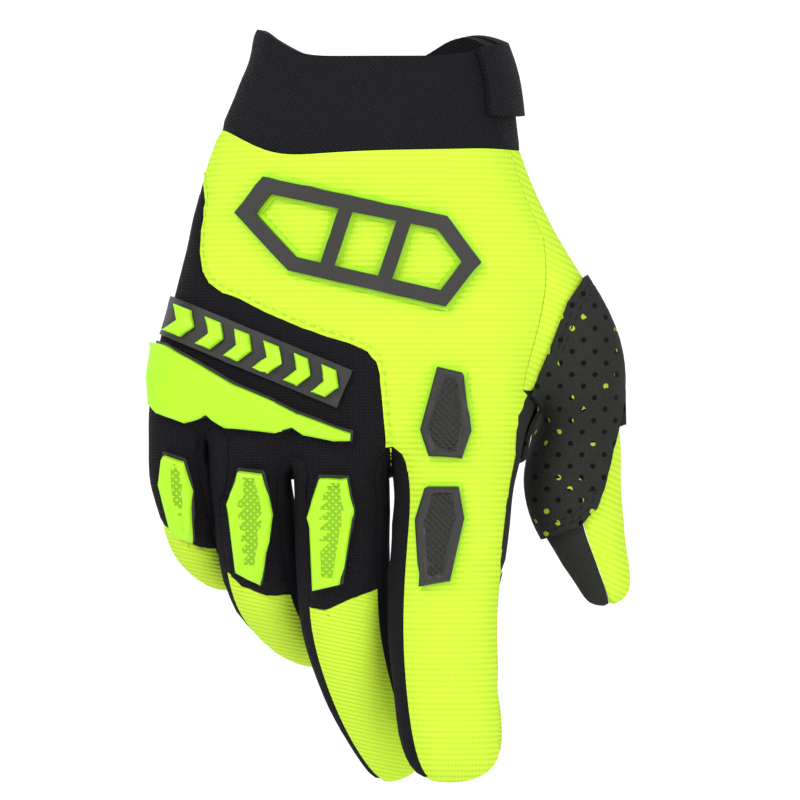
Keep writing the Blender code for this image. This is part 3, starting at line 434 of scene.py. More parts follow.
def build_cage():
    """The whole glove as one open cage of four-sided faces."""
    cage = CageBuilder()
    for row in range(LAST_ROW + 1):
        for column in range(COLUMN_COUNT):
            in_thumb = THUMB_ROWS[0] < row < THUMB_ROWS[1] and column == RIGHT_SIDE
            if not in_thumb:
                cage.corner(("palm", row, column), palm_point(row, column))
    for step in range(len(CUFF_ROWS)):
        for column in range(COLUMN_COUNT):
            cage.corner(("cuff", step, column), cuff_point(step, column))
    for column, drop in WEB_DROP.items():
        back, front = palm_point(LAST_ROW, column), palm_point(LAST_ROW, 18 - column)
        web = (back + front) / 2
        web.z = -CUFF_HEIGHT - (1 + drop) * PALM_LENGTH
        cage.corner(("web", column), web)

    for column in range(COLUMN_COUNT):
        beside = (column + 1) % COLUMN_COUNT
        levels = [("cuff", step, None) for step in range(len(CUFF_ROWS) - 1, -1, -1)] + [("palm", 0, None)]
        for upper, lower in zip(levels, levels[1:]):
            keys = [(level[0], level[1], c) for level, c in
                    ((upper, column), (lower, column), (lower, beside), (upper, beside))]
            wrapped = 7 <= column <= 13 and lower[0] == "cuff"
            cage.face("cuff_wrapped" if wrapped else "cuff", *keys)
        on_back = column < 8 or column == LEFT_SIDE
        for row in range(LAST_ROW):
            if THUMB_ROWS[0] <= row < THUMB_ROWS[1] and column in (8, 9):
                continue
            near_thumb = column in (8, 9) and row < THUMB_ROWS[0]
            region = "back_hand" if on_back else "gusset" if near_thumb else "palm"
            cage.face(region, ("palm", row, column), ("palm", row + 1, column),
                      ("palm", row + 1, beside), ("palm", row, beside))

    down = Vector((0, 0, -1))
    for finger, name in enumerate(FINGER_NAMES):
        length, width, depth, turn, stations = FINGERS[name]
        first = 2 * finger
        side = [("palm", LAST_ROW, LEFT_SIDE) if c == 0 else ("palm", LAST_ROW, RIGHT_SIDE) if c == 8 else ("web", c)
                for c in (first, first + 2)]
        roots = [("palm", LAST_ROW, first + i) for i in range(3)] + [side[1]]
        roots += [("palm", LAST_ROW, 18 - first - i) for i in (2, 1, 0)] + [side[0]]
        regions = finger_regions(finger)
        last = cage.tube(name, roots, length, width, depth, turn, stations, FINGER_ANGLES,
                         FINGER_SQUARENESS, FINGER_SWELL, lambda _, j: regions[j], down)
        tip = (name, "tip")
        for a, b, c, region in ((1, 0, 7, regions[0]), (3, 2, 1, regions[0]), (5, 4, 3, regions[4]), (7, 6, 5, regions[4])):
            cage.face(region, last[a], last[b], last[c], tip)

    top, bottom = THUMB_ROWS
    front, back = THUMB_COLUMNS
    roots = [("palm", row, front) for row in range(bottom, top - 1, -1)] + [("palm", top, RIGHT_SIDE)]
    roots += [("palm", row, back) for row in range(top, bottom + 1)] + [("palm", bottom, RIGHT_SIDE)]
    angles = [math.radians(-60 + 30 * j) for j in range(12)]
    axis = Vector(THUMB_AXIS).normalized()
    last = cage.tube("thumb", roots, THUMB_LENGTH, THUMB_WIDTH, THUMB_DEPTH, THUMB_TURN, THUMB_STATIONS,
                     angles, THUMB_SQUARENESS, THUMB_SWELL,
                     lambda step, j: "gusset" if (0 if step < 3 else 2) <= j < 8 else "thumb_palm", axis)
    for j in range(0, 12, 2):
        region = "gusset" if 2 <= j < 8 else "thumb_palm"
        cage.face(region, last[(j + 2) % 12], last[j + 1], last[j], ("thumb", "tip"))
    return Cage(cage.points, cage.faces, cage.regions)


def new_mesh_object(name, points, faces):
    mesh = bpy.data.meshes.new(name)
    mesh.from_pydata([tuple(p) for p in points], [], faces)
    mesh.update()
    return bpy.data.objects.new(name, mesh)


def subdivided_shell(levels):
    """The cage after Subdivision Surface, as a bmesh, and the list of its regions by material index."""
    cage = build_cage()
    names = sorted(set(cage.regions))
    holder = new_mesh_object("glove_cage", cage.points, cage.faces)
    for _ in names:
        holder.data.materials.append(None)
    for polygon, region in zip(holder.data.polygons, cage.regions):
        polygon.material_index = names.index(region)
    bpy.context.scene.collection.objects.link(holder)
    smooth = holder.modifiers.new("smooth", "SUBSURF")
    smooth.levels = smooth.render_levels = levels
    graph = bpy.context.evaluated_depsgraph_get()
    mesh = bpy.data.meshes.new_from_object(holder.evaluated_get(graph))
    bpy.data.objects.remove(holder)
    shell = bmesh.new()
    shell.from_mesh(mesh)
    bpy.data.meshes.remove(mesh)
    # flat faces, so that pieces cut out of a copy lie along the panels below them
    bmesh.ops.triangulate(shell, faces=shell.faces, quad_method="SHORT_EDGE")
    return shell, names


# directions of a look at the back of the hand
ACROSS, SIGHT, PALM_UP = Vector((1, 0, 0)), Vector((0, 1, 0)), Vector((0, 0, 1))


def seen(point):
    """A point's place in a look at the back of the hand."""
    return Vector((point.x, point.z))


def measured(outline):
    """An outline's corners in metres, from shares of PALM_WIDTH across and down from the wrist opening."""
    return [Vector((across, -down)) * PALM_WIDTH for across, down in outline]


def edge_normals(outline):
    """The outward direction of each side of a closed outline."""
    loop = list(zip(outline, outline[1:] + outline[:1]))
    turning = sum(a.x * b.y - b.x * a.y for a, b in loop)
    sign = math.copysign(1, turning)
    return [Vector((b.y - a.y, a.x - b.x)).normalized() * sign for a, b in loop]


def grown(outline, distance):
    """A closed outline with its sides moved outwards, or inwards by a negative distance."""
    normals = edge_normals(outline)
    moved = []
    for i, corner in enumerate(outline):
        before, after = normals[i - 1], normals[i]
        moved.append(corner + (before + after) * (distance / max(0.35, 1 + before.dot(after))))
    return moved


def is_inside(outline, point):
    inside = False
    for a, b in zip(outline, outline[1:] + outline[:1]):
        if (a.y > point.y) != (b.y > point.y) and point.x < a.x + (point.y - a.y) * (b.x - a.x) / (b.y - a.y):
            inside = not inside
    return inside


def distance_in(outline, point):
    """How far a point lies from an outline's nearest side."""
    nearest = 1.0
    for a, b in zip(outline, outline[1:] + outline[:1]):
        side = b - a
        share = min(1, max(0, (point - a).dot(side) / side.length_squared))
        nearest = min(nearest, (a + side * share - point).length)
    return nearest


class Shell:
    """The subdivided glove, which lines are cut into and patches are taken from."""

    def __init__(self, body, names):
        self.body, self.names = body, names
        body.normal_update()

    def copy(self):
        return Shell(self.body.copy(), list(self.names))

    def region(self, face):
        return self.names[face.material_index]

    def faces_of(self, regions, sight=None):
        return [f for f in self.body.faces if self.region(f) in regions
                and (sight is None or f.normal.dot(sight) < 0.1)]

    def cut(self, line, regions, facing=None, closed=True):
        """Cuts straight through the faces of some regions along a line drawn in a look at the glove."""
        ends = line[1:] + line[:1] if closed else line[1:]
        for a, b in zip(line, ends):
            low = (min(a.x, b.x) - SNAP, min(a.y, b.y) - SNAP)
            high = (max(a.x, b.x) + SNAP, max(a.y, b.y) + SNAP)
            crossed = []
            for face in self.faces_of(regions, facing and SIGHT * facing):
                flat = [(v.co.x, v.co.z) for v in face.verts]
                u, w = [p[0] for p in flat], [p[1] for p in flat]
                if max(u) < low[0] or min(u) > high[0] or max(w) < low[1] or min(w) > high[1]:
                    continue
                crossed.append(face)
            parts = {*crossed, *(e for f in crossed for e in f.edges), *(v for f in crossed for v in f.verts)}
            normal = (ACROSS * (b.y - a.y) - PALM_UP * (b.x - a.x)).normalized()
            bmesh.ops.bisect_plane(self.body, geom=list(parts), dist=SNAP,
                                   plane_co=ACROSS * a.x + PALM_UP * a.y, plane_no=normal)
        self.body.normal_update()

    def inside(self, outline, regions, facing=None, holes=()):
        kept = []
        for face in self.faces_of(regions, facing and SIGHT * facing):
            flat = seen(face.calc_center_median())
            if is_inside(outline, flat) and not any(is_inside(hole, flat) for hole in holes):
                kept.append(face)
        return kept

    def rename(self, faces, name):
        if name not in self.names:
            self.names.append(name)
        for face in faces:
            face.material_index = self.names.index(name)


def edge_shifts(faces, inset):
    """How far each border corner of a patch moves into it for a gap beside its neighbour."""
    kept = set(faces)
    sides = {}
    for face in faces:
        for loop in face.loops:
            if sum(other in kept for other in loop.edge.link_faces) == 1:
                a, b = loop.vert, loop.link_loop_next.vert
                inward = face.normal.cross(b.co - a.co).normalized()
                sides.setdefault(a, []).append(inward)
                sides.setdefault(b, []).append(inward)
    shifts = {}
    for corner, inwards in sides.items():
        if len(inwards) != 2:
            raise ValueError(f"a patch touches itself at {tuple(round(c * 1000, 2) for c in corner.co)}")
        first, second = inwards
        shifts[corner] = (first + second) * (inset / max(0.5, 1 + first.dot(second)))
    return shifts


def body_from(name, faces, low, high, inset=0.0):
    """A closed body over a patch of the shell, between two heights above it; high may depend on the corner."""
    shifts = edge_shifts(faces, inset)
    corners = list(dict.fromkeys(v for f in faces for v in f.verts))
    number = {v: i for i, v in enumerate(corners)}
    count = len(corners)
    height = high if callable(high) else lambda _: high
    points = []
    for level in (height, lambda _: low):
        for v in corners:
            points.append(v.co + v.normal * level(v) + shifts.get(v, Vector()))
    kept = set(faces)
    sides = []
    for face in faces:
        ring = [number[v] for v in face.verts]
        sides.append(ring)
        sides.append([i + count for i in reversed(ring)])
        for loop in face.loops:
            if sum(other in kept for other in loop.edge.link_faces) == 1:
                a, b = number[loop.vert], number[loop.link_loop_next.vert]
                sides.append([b, a, a + count, b + count])
    part = new_mesh_object(name, points, sides)
    bpy.context.scene.collection.objects.link(part)
    return part


def cut_panels(shell):
    """Cuts the lines between panels that don't follow the cage, and names the faces on their far side."""
    border = measured(BACK_BORDER)
    foot = Vector((border[-1].x, -2 * PALM_WIDTH))
    corner = Vector((-PALM_WIDTH, border[0].y))
    shell.cut(border, ("back_hand",), closed=False)
    outline = [*border, foot, Vector((corner.x, foot.y)), corner]
    shell.rename(shell.inside(outline, ("back_hand",)), "knuckle")
    for name, line in TIP_BORDERS.items():
        line = measured(line)
        line = [Vector((-PALM_WIDTH, line[0].y)), *line, Vector((PALM_WIDTH, line[-1].y))]
        region = "back_" + name
        shell.cut(line, (region,), closed=False)
        below = [*line, Vector((PALM_WIDTH, foot.y)), Vector((-PALM_WIDTH, foot.y))]
        shell.rename(shell.inside(below, (region,)), "tip_" + name)
        shell.rename(shell.faces_of((region,)), "knuckle")
    backs = ("knuckle", "back_hand", "back_index")
    for fork, arch in enumerate(FORK_ARCHES):
        arch = measured(arch)
        shell.cut(arch, backs, facing=1)
        shell.rename(shell.inside(arch, backs, facing=1), f"fork_{fork}")
    line = measured(INDEX_BORDER)
    shell.cut(line, ("palm_index", "palm"), facing=1, closed=False)
    outline = [*line, Vector((0, foot.y)), Vector((0, line[0].y))]
    shell.rename(shell.inside(outline, ("palm_index", "palm"), facing=1), "back_index")
    level = -GRIP_START * PALM_WIDTH
    shell.cut([Vector((0, level)), Vector((PALM_WIDTH, level))], ("palm_index",), closed=False)
    outline = [Vector((0, level)), Vector((PALM_WIDTH, level)), Vector((PALM_WIDTH, foot.y)), Vector((0, foot.y))]
    shell.rename(shell.inside(outline, ("palm_index",)), "grip_index")


# Looks
SHELL_LEVELS = 2
SEAM_DIP = 0.0006  # how far a panel's edge is drawn in by its seam
CLOTH_GAP = 0.0001  # each side of a seam, closer than between the solids
FOLD_SCALE, FOLD_DEPTH = 70.0, 0.0007
SHARP_ANGLE = math.radians(35)
KNURL_INSET, KNURL_STEP, KNURL_DROP = 0.0014, 0.0007, 0.0006
RIB_PITCH, TIP_RIB_PITCH, MESH_PITCH, CUFF_PITCH, KNURL_PITCH = 0.0015, 0.0011, 0.0008, 0.0010, 0.00125
HOLE_PITCH, HOLE_RADIUS = 0.0042, 0.0007
KNIT_BUMP, BLACK_KNIT_BUMP, GRIP_BUMP, KNURL_BUMP = 0.00016, 0.0002, 0.00015, 0.0004
TERRY_SCALE, SUEDE_SCALE, RUBBER_SCALE, HOLE_TINT_SCALE = 1500, 2200, 1500, 120
TERRY_BUMP, SUEDE_BUMP, RUBBER_BUMP = 0.0004, 0.0001, 0.00003
CROSSING_PITCH, CROSSING_HEIGHT = 0.6, 0.25  # a knit's cross stitches, as shares of its ribs
STITCH_PITCH, STITCH_LENGTH, STITCH_RADIUS = 0.0026, 0.0018, 0.00022
SEAM_STITCH_PLACE, SEAM_STITCH_LIFT = Vector((0.0012, 0.0012)), 0.0001
PATCH_STITCH_INSETS = (0.0016, 0.0032)
# the printed dashes round the index grip: the middle height of each and half its height
GRIP_DASHES = ((-0.136, 0.0013), (-0.145, 0.0011), (-0.1553, 0.0019))

YELLOW = (0.578, 0.855, 0.048)
GREEN = (0.381, 0.791, 0.014)
KNIT_BLACK = (0.010, 0.009, 0.012)
CUFF_BLACK = (0.011, 0.010, 0.013)
SUEDE_BLACK = (0.026, 0.027, 0.024)
RUBBER_BLACK = (0.025, 0.025, 0.023)
THREAD_BLACK = (0.012, 0.012, 0.013)


class Shader:
    """A material with a Principled BSDF, and short ways to add nodes to it."""

    def __init__(self, name, colour, roughness, shine=0.12):
        self.material = bpy.data.materials.new(name)
        self.material.use_nodes = True
        self.tree = self.material.node_tree
        self.surface = self.tree.nodes["Principled BSDF"]
        self.surface.inputs["Base Color"].default_value = (*colour, 1)
        self.surface.inputs["Roughness"].default_value = roughness
        self.surface.inputs["Specular IOR Level"].default_value = shine
        self.place = self.tree.nodes.new("ShaderNodeTexCoord").outputs["Object"]

    def join(self, source, target):
        self.tree.links.new(source, target)

    def math(self, operation, first, second):
        node = self.tree.nodes.new("ShaderNodeMath")
        node.operation = operation
        for socket, value in zip(node.inputs, (first, second)):
            if isinstance(value, (int, float)):
                socket.default_value = value
            else:
                self.join(value, socket)
        return node.outputs[0]

    def rows(self, direction, pitch):
        node = self.tree.nodes.new("ShaderNodeGroup")
        node.node_tree = ROWS
        self.join(self.place, node.inputs["Place"])
        node.inputs["Direction"].default_value = direction
        node.inputs["Pitch"].default_value = pitch
        return node.outputs["Height"]

    def fibres(self, scale):
        node = self.tree.nodes.new("ShaderNodeTexNoise")
        self.join(self.place, node.inputs["Vector"])
        node.inputs["Scale"].default_value = scale
        node.inputs["Detail"].default_value = 3
        return node.outputs["Fac"]

    def tint(self, mask, low, high):
        """The base colour goes from one colour to the other with a mask."""
        node = self.tree.nodes.new("ShaderNodeMix")
        node.data_type = "RGBA"
        self.join(mask, node.inputs["Factor"])
        for socket, colour in ((node.inputs["A"], low), (node.inputs["B"], high)):
            if isinstance(colour, tuple):
                socket.default_value = (*colour, 1)
            else:
                self.join(colour, socket)
        self.join(node.outputs["Result"], self.surface.inputs["Base Color"])
        return node.outputs["Result"]

    def bump(self, height, distance, strength=1.0):
        node = self.tree.nodes.new("ShaderNodeBump")
        node.inputs["Distance"].default_value = distance
        node.inputs["Strength"].default_value = strength
        self.join(height, node.inputs["Height"])
        self.join(node.outputs["Normal"], self.surface.inputs["Normal"])


def rows_group():
    """Even rounded rows across a direction, as a height from 0 to 1."""
    tree = bpy.data.node_groups.new("cloth_rows", "ShaderNodeTree")
    tree.interface.new_socket("Place", in_out="INPUT", socket_type="NodeSocketVector")
    tree.interface.new_socket("Direction", in_out="INPUT", socket_type="NodeSocketVector")
    tree.interface.new_socket("Pitch", in_out="INPUT", socket_type="NodeSocketFloat")
    tree.interface.new_socket("Height", in_out="OUTPUT", socket_type="NodeSocketFloat")
    given = tree.nodes.new("NodeGroupInput")
    dot = tree.nodes.new("ShaderNodeVectorMath")
    dot.operation = "DOT_PRODUCT"
    tree.links.new(given.outputs["Place"], dot.inputs[0])
    tree.links.new(given.outputs["Direction"], dot.inputs[1])
    steps = [("DIVIDE", None), ("MULTIPLY", 2 * math.pi), ("SINE", None), ("MULTIPLY_ADD", 0.5)]
    last = dot.outputs["Value"]
    for operation, value in steps:
        node = tree.nodes.new("ShaderNodeMath")
        node.operation = operation
        tree.links.new(last, node.inputs[0])
        if operation == "DIVIDE":
            tree.links.new(given.outputs["Pitch"], node.inputs[1])
        elif value is not None:
            node.inputs[1].default_value = value
            node.inputs[2].default_value = 0.5
        last = node.outputs[0]
    tree.links.new(last, tree.nodes.new("NodeGroupOutput").inputs["Height"])
    return tree


ROWS = rows_group()
DIAGONAL = math.sqrt(0.5)


def darker(colour, share):
    return tuple(c * share for c in colour)


def rib_knit(name, direction, pitch):
    """Bright knit with raised ribs, each crossed by fine stitches."""
    shader = Shader(name, YELLOW, 0.85)
    ribs = shader.rows(direction, pitch)
    crossing = shader.rows((direction[2], 0, -direction[0]), pitch * CROSSING_PITCH)
    height = shader.math("ADD", ribs, shader.math("MULTIPLY", crossing, CROSSING_HEIGHT))
    # The grooves between the ribs and cross stitches are painted darker: painted shade.
    shader.tint(height, darker(YELLOW, 0.80), YELLOW)
    shader.bump(height, KNIT_BUMP)
    return shader.material


def black_knit(name, colour, pitch, roughness, lean=0.0):
    """Dark stretch cloth with fine rows."""
    shader = Shader(name, colour, roughness)
    rows = shader.rows((lean, 0, 1), pitch)
    crossing = shader.rows((1, 0, -lean), pitch)
    height = shader.math("MULTIPLY", rows, crossing)
    # The low parts of the rows are painted darker and the raised crossings lighter: painted shade and painted
    # highlight.
    shader.tint(height, darker(colour, 0.5), darker(colour, 1.3))
    shader.bump(height, BLACK_KNIT_BUMP)
    return shader.material


def fuzzy(name, colour, scale, depth):
    """Looped or brushed cloth."""
    shader = Shader(name, colour, 0.95)
    fibres = shader.fibres(scale)
    shader.tint(fibres, darker(colour, 0.4), darker(colour, 1.3))
    shader.bump(fibres, depth)
    return shader


def rubber(name, colour):
    shader = Shader(name, colour, 0.42, 0.35)
    shader.bump(shader.fibres(RUBBER_SCALE), RUBBER_BUMP)
    return shader.material


def knurled(name, colour):
    """Moulded rubber with a field of small diamonds."""
    shader = Shader(name, colour, 0.5, 0.3)
    first = shader.rows((DIAGONAL, 0, DIAGONAL), KNURL_PITCH)
    second = shader.rows((DIAGONAL, 0, -DIAGONAL), KNURL_PITCH)
    height = shader.math("MULTIPLY", first, second)
    # The grooves between the diamonds are painted darker and their tops lighter: painted shade and painted highlight.
    shader.tint(height, darker(colour, 0.55), darker(colour, 1.15))
    shader.bump(height, KNURL_BUMP)
    return shader.material


def perforated_suede():
    """Suede with a diagonal grid of punched holes; some show the knit below."""
    shader = fuzzy("perforated_suede", SUEDE_BLACK, SUEDE_SCALE, SUEDE_BUMP)
    parts = shader.tree.nodes.new("ShaderNodeSeparateXYZ")
    shader.join(shader.place, parts.inputs[0])
    x, z = parts.outputs["X"], parts.outputs["Z"]
    offsets = []
    for operation in ("ADD", "SUBTRACT"):
        along = shader.math("MULTIPLY", shader.math(operation, x, z), DIAGONAL / HOLE_PITCH)
        offset = shader.math("SUBTRACT", shader.math("FRACT", along, 0), 0.5)
        offsets.append(shader.math("MULTIPLY", offset, offset))
    away = shader.math("SQRT", shader.math("ADD", *offsets), 0)
    hole = shader.math("LESS_THAN", away, HOLE_RADIUS / HOLE_PITCH)
    knit = shader.math("GREATER_THAN", shader.fibres(HOLE_TINT_SCALE), 0.56)
    cloth = shader.surface.inputs["Base Color"].links[0].from_socket
    # Inside the holes the colour is painted shade: near-black, or the knit below darkened to just over half its
    # brightness.
    inside = shader.tint(knit, (0.003, 0.003, 0.003), darker(YELLOW, 0.55))
    shader.tint(hole, cloth, inside)
    return shader.material


def printed_grip():
    """The index finger's grip, with dark printed dashes across it."""
    shader = Shader("printed_grip", YELLOW, 0.8)
    ribs = shader.rows((0, 0, 1), TIP_RIB_PITCH)
    # The grooves between the ribs are painted darker: painted shade. The dashes below are print.
    cloth = shader.tint(ribs, darker(YELLOW, 0.7), YELLOW)
    parts = shader.tree.nodes.new("ShaderNodeSeparateXYZ")
    shader.join(shader.place, parts.inputs[0])
    dash = 0
    for middle, half in GRIP_DASHES:
        away = shader.math("ABSOLUTE", shader.math("SUBTRACT", parts.outputs["Z"], middle), 0)
        dash = shader.math("ADD", dash, shader.math("LESS_THAN", away, half))
    shader.tint(dash, cloth, RUBBER_BLACK)
    shader.bump(ribs, GRIP_BUMP)
    return shader.material


def shown(part, node, kind, *materials):
    """Shades a piece, and lets it stand for its CAD node."""
    for material in materials:
        part.data.materials.append(material)
    part.data.shade_smooth()
    part.data.set_sharp_from_angle(angle=SHARP_ANGLE)
    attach(part, "root")
    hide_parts(node)
    return part


def panel(node, shell, regions, wall, kind, material):
    """A sewn panel, drawn in at its seams and slightly creased between them."""
    faces = shell.faces_of(regions)
    kept = set(faces)

    def height(corner):
        if any(face not in kept for face in corner.link_faces) or corner.is_boundary:
            return -SEAM_DIP
        return -FOLD_DEPTH * abs(noise.noise(corner.co * FOLD_SCALE))

    return shown(body_from(node + "_cloth", faces, -wall, height, CLOTH_GAP), node, kind, material)


def plate(node, shell, outline, low, high, kind, material, holes=(), chamfer=0.0, regions=None, knurl=None):
    """A moulded piece cut to an outline, with a chamfered edge and, if asked, a sunk field of diamonds."""
    cutter = shell.copy()
    regions = regions or cutter.names
    lines = [outline, *holes]
    if chamfer:
        lines += [grown(outline, -chamfer), *(grown(hole, chamfer) for hole in holes)]
    if knurl:
        lines += [grown(outline, -KNURL_INSET), grown(outline, -KNURL_INSET - KNURL_STEP)]
    for line in lines:
        cutter.cut(line, regions, facing=1)
    faces = cutter.inside(outline, regions, facing=1, holes=holes)

    def edge_of(point):
        return min(distance_in(line, seen(point)) for line in (outline, *holes))

    def height(corner):
        edge = edge_of(corner.co)
        if knurl and edge > KNURL_INSET + KNURL_STEP * 0.5:
            return high - KNURL_DROP
        return high - CHAMFER_DROP * (1 - min(1, edge / chamfer * 1.02)) if chamfer else high

    part = body_from(node + "_moulding", faces, low, height)
    shown(part, node, kind, material, *([knurl] if knurl else []))
    if knurl:
        field = grown(outline, -KNURL_INSET - KNURL_STEP)
        for polygon in part.data.polygons:
            if polygon.normal.y < 0 and is_inside(field, seen(polygon.center)):
                polygon.material_index = 1
    cutter.body.free()
    return part


def stitch_tree(thread):
    """Threads laid end to end along a line."""
    tree = bpy.data.node_groups.new("stitch_row", "GeometryNodeTree")
    tree.interface.new_socket("Line", in_out="INPUT", socket_type="NodeSocketGeometry")
    for label, value in (("Pitch", STITCH_PITCH), ("Length", STITCH_LENGTH), ("Radius", STITCH_RADIUS)):
        socket = tree.interface.new_socket(label, in_out="INPUT", socket_type="NodeSocketFloat")
        socket.default_value = value
    tree.interface.new_socket("Threads", in_out="OUTPUT", socket_type="NodeSocketGeometry")
    node, link = tree.nodes.new, tree.links.new
    given, result = node("NodeGroupInput"), node("NodeGroupOutput")
    curve, even = node("GeometryNodeMeshToCurve"), node("GeometryNodeResampleCurve")
    even.mode = "LENGTH"
    link(given.outputs["Line"], curve.inputs[0])
    link(curve.outputs[0], even.inputs["Curve"])
    link(given.outputs["Pitch"], even.inputs["Length"])
    ball, placed = node("GeometryNodeMeshUVSphere"), node("GeometryNodeInstanceOnPoints")
    ball.inputs["Segments"].default_value = 6
    ball.inputs["Rings"].default_value = 4
    ball.inputs["Radius"].default_value = 1
    size = node("ShaderNodeCombineXYZ")
    half = node("ShaderNodeMath")
    half.operation = "MULTIPLY"
    half.inputs[1].default_value = 0.5
    link(given.outputs["Length"], half.inputs[0])
    link(given.outputs["Radius"], size.inputs["X"])
    link(given.outputs["Radius"], size.inputs["Y"])
    link(half.outputs[0], size.inputs["Z"])
    turn = node("FunctionNodeAlignRotationToVector")
    turn.axis = "Z"
    link(node("GeometryNodeInputTangent").outputs[0], turn.inputs["Vector"])
    link(even.outputs[0], placed.inputs["Points"])
    link(ball.outputs["Mesh"], placed.inputs["Instance"])
    link(turn.outputs[0], placed.inputs["Rotation"])
    link(size.outputs[0], placed.inputs["Scale"])
    real, dressed = node("GeometryNodeRealizeInstances"), node("GeometryNodeSetMaterial")
    dressed.inputs["Material"].default_value = thread
    link(placed.outputs[0], real.inputs[0])
    link(real.outputs[0], dressed.inputs["Geometry"])
    link(dressed.outputs[0], result.inputs[0])
    return tree


def stitched(name, outline, surface, lift, tree):
    """A row of stitches along an outline, seen from the back of the hand and laid on the glove."""
    points = []
    for a, b in zip(outline, outline[1:]):
        steps = max(1, round((b - a).length / STITCH_PITCH * 2))
        for step in range(steps):
            flat = a + (b - a) * (step / steps)
            hit, normal, _, _ = surface.ray_cast(Vector((flat.x, -1, flat.y)), Vector((0, 1, 0)))
            if hit:
                points.append(hit + normal * lift)
    edges = [(i, i + 1) for i in range(len(points) - 1)
             if (points[i] - points[i + 1]).length < STITCH_PITCH * 2]
    mesh = bpy.data.meshes.new(name)
    mesh.from_pydata(points, edges, [])
    line = bpy.data.objects.new(name + "_line", mesh)
    bpy.context.scene.collection.objects.link(line)
    line.modifiers.new("stitches", "NODES").node_group = tree
    graph = bpy.context.evaluated_depsgraph_get()
    threads = bpy.data.meshes.new_from_object(line.evaluated_get(graph))
    bpy.data.objects.remove(line)
    row = bpy.data.objects.new(name, threads)
    bpy.context.scene.collection.objects.link(row)
    threads.shade_smooth()
    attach(row, "root")


for old in list(bpy.data.objects):
    bpy.data.objects.remove(old)
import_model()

back_knit = rib_knit("back_knit", (0, 0, 1), RIB_PITCH)
thumb_knit = rib_knit("thumb_knit", (0.42, 0, 0.91), RIB_PITCH)
tip_knit = rib_knit("tip_knit", (0.2, 0, 0.98), TIP_RIB_PITCH)
stretch = black_knit("stretch_mesh", KNIT_BLACK, MESH_PITCH, 0.85)
cuff_knit = black_knit("cuff_knit", CUFF_BLACK, CUFF_PITCH, 0.8, lean=0.7)
terry = fuzzy("terry", KNIT_BLACK, TERRY_SCALE, TERRY_BUMP).material
suede = fuzzy("suede", SUEDE_BLACK, SUEDE_SCALE, SUEDE_BUMP).material
green_rubber, black_rubber = rubber("green_rubber", GREEN), rubber("black_rubber", RUBBER_BLACK)
green_knurl, black_knurl = knurled("green_knurl", GREEN), knurled("black_knurl", RUBBER_BLACK)

whole = Shell(*subdivided_shell(SHELL_LEVELS))
bare = whole.copy()
cut_panels(whole)

panel("cuff", whole, ("cuff", "cuff_wrapped"), CUFF_WALL, "neoprene", cuff_knit)
panel("back_panel", whole, ("back_hand", "back_index"), KNIT_WALL, "rib_knit", back_knit)
panel("knuckle_panel", whole, ("knuckle",), KNIT_WALL, "stretch_mesh", stretch)
panel("thumb_back", whole, ("gusset",), KNIT_WALL, "rib_knit", thumb_knit)
panel("thumb_palm", whole, ("thumb_palm",), SUEDE_WALL, "suede", suede)
panel("palm", whole, ("palm", "palm_pinky", "palm_ring", "palm_middle", "palm_index"), SUEDE_WALL, "suede", suede)
panel("index_grip", whole, ("grip_index",), SUEDE_WALL, "rib_knit", printed_grip())
for finger in TIP_BORDERS:
    panel(finger + "_tip", whole, ("tip_" + finger,), KNIT_WALL, "rib_knit", tip_knit)
for fork, label in enumerate(("pinky_ring", "ring_middle", "middle_index")):
    panel("fourchette_" + label, whole, (f"fork_{fork}",), FOURCHETTE_WALL, "terry", terry)

strap_faces = bare.faces_of(("cuff_wrapped",))
strap = body_from("closure_strap_cloth", strap_faces, SEAT_GAP, SEAT_GAP + STRAP_WALL)
shown(strap, "closure_strap", "neoprene", cuff_knit)

base_top = SEAT_GAP + GUARD_BASE
for label, outline, rim, rise, regions in GUARDS:
    outline = measured(outline)
    on_index = label.startswith("index")
    face, knurl, kind = green_rubber, green_knurl, "green_rubber"
    if on_index:
        face, knurl, kind = black_rubber, black_knurl, "black_rubber"
    under, under_kind = (green_rubber, "green_rubber") if on_index else (black_rubber, "black_rubber")
    plate(label + "_base", bare, grown(outline, rim), SEAT_GAP, base_top, under_kind, under, regions=regions)
    top = base_top + SEAT_GAP
    plate(label, bare, outline, top, top + rise, kind, face, chamfer=GUARD_CHAMFER, regions=regions,
          knurl=None if label == "knuckle_guard" else knurl)

cells = [measured(cell) for cell in EMBLEM_CELLS]
outline = measured(EMBLEM)
emblem_top = SEAT_GAP + EMBLEM_BASE
plate("emblem_base", bare, grown(outline, EMBLEM_RIM), SEAT_GAP, emblem_top, "green_rubber", green_rubber,
      [grown(cell, -EMBLEM_RIM) for cell in cells])
plate("emblem", bare, outline, emblem_top + SEAT_GAP, emblem_top + SEAT_GAP + EMBLEM_RISE, "black_rubber",
      black_rubber, cells)

along = Vector(BLOCK_STEP).normalized()
across = Vector((-along.y, along.x))


def block_place(step, corners):
    """Outline corners given along and across the row of blocks, from one block's place."""
    start = Vector(BLOCK_START) + Vector(BLOCK_STEP) * step
    return measured([start + along * u + across * v for u, v in corners])


plate("block_base", bare, block_place(0, BLOCK_BASE), SEAT_GAP, base_top, "black_rubber", black_rubber,
      regions=("back_hand",))
for step in range(BLOCK_COUNT):
    plate(f"block_{step + 1}", bare, block_place(step, BLOCK), base_top + SEAT_GAP,
          base_top + SEAT_GAP + GUARD_RISE, "green_rubber", green_rubber, chamfer=BLOCK_CHAMFER,
          regions=("back_hand",))

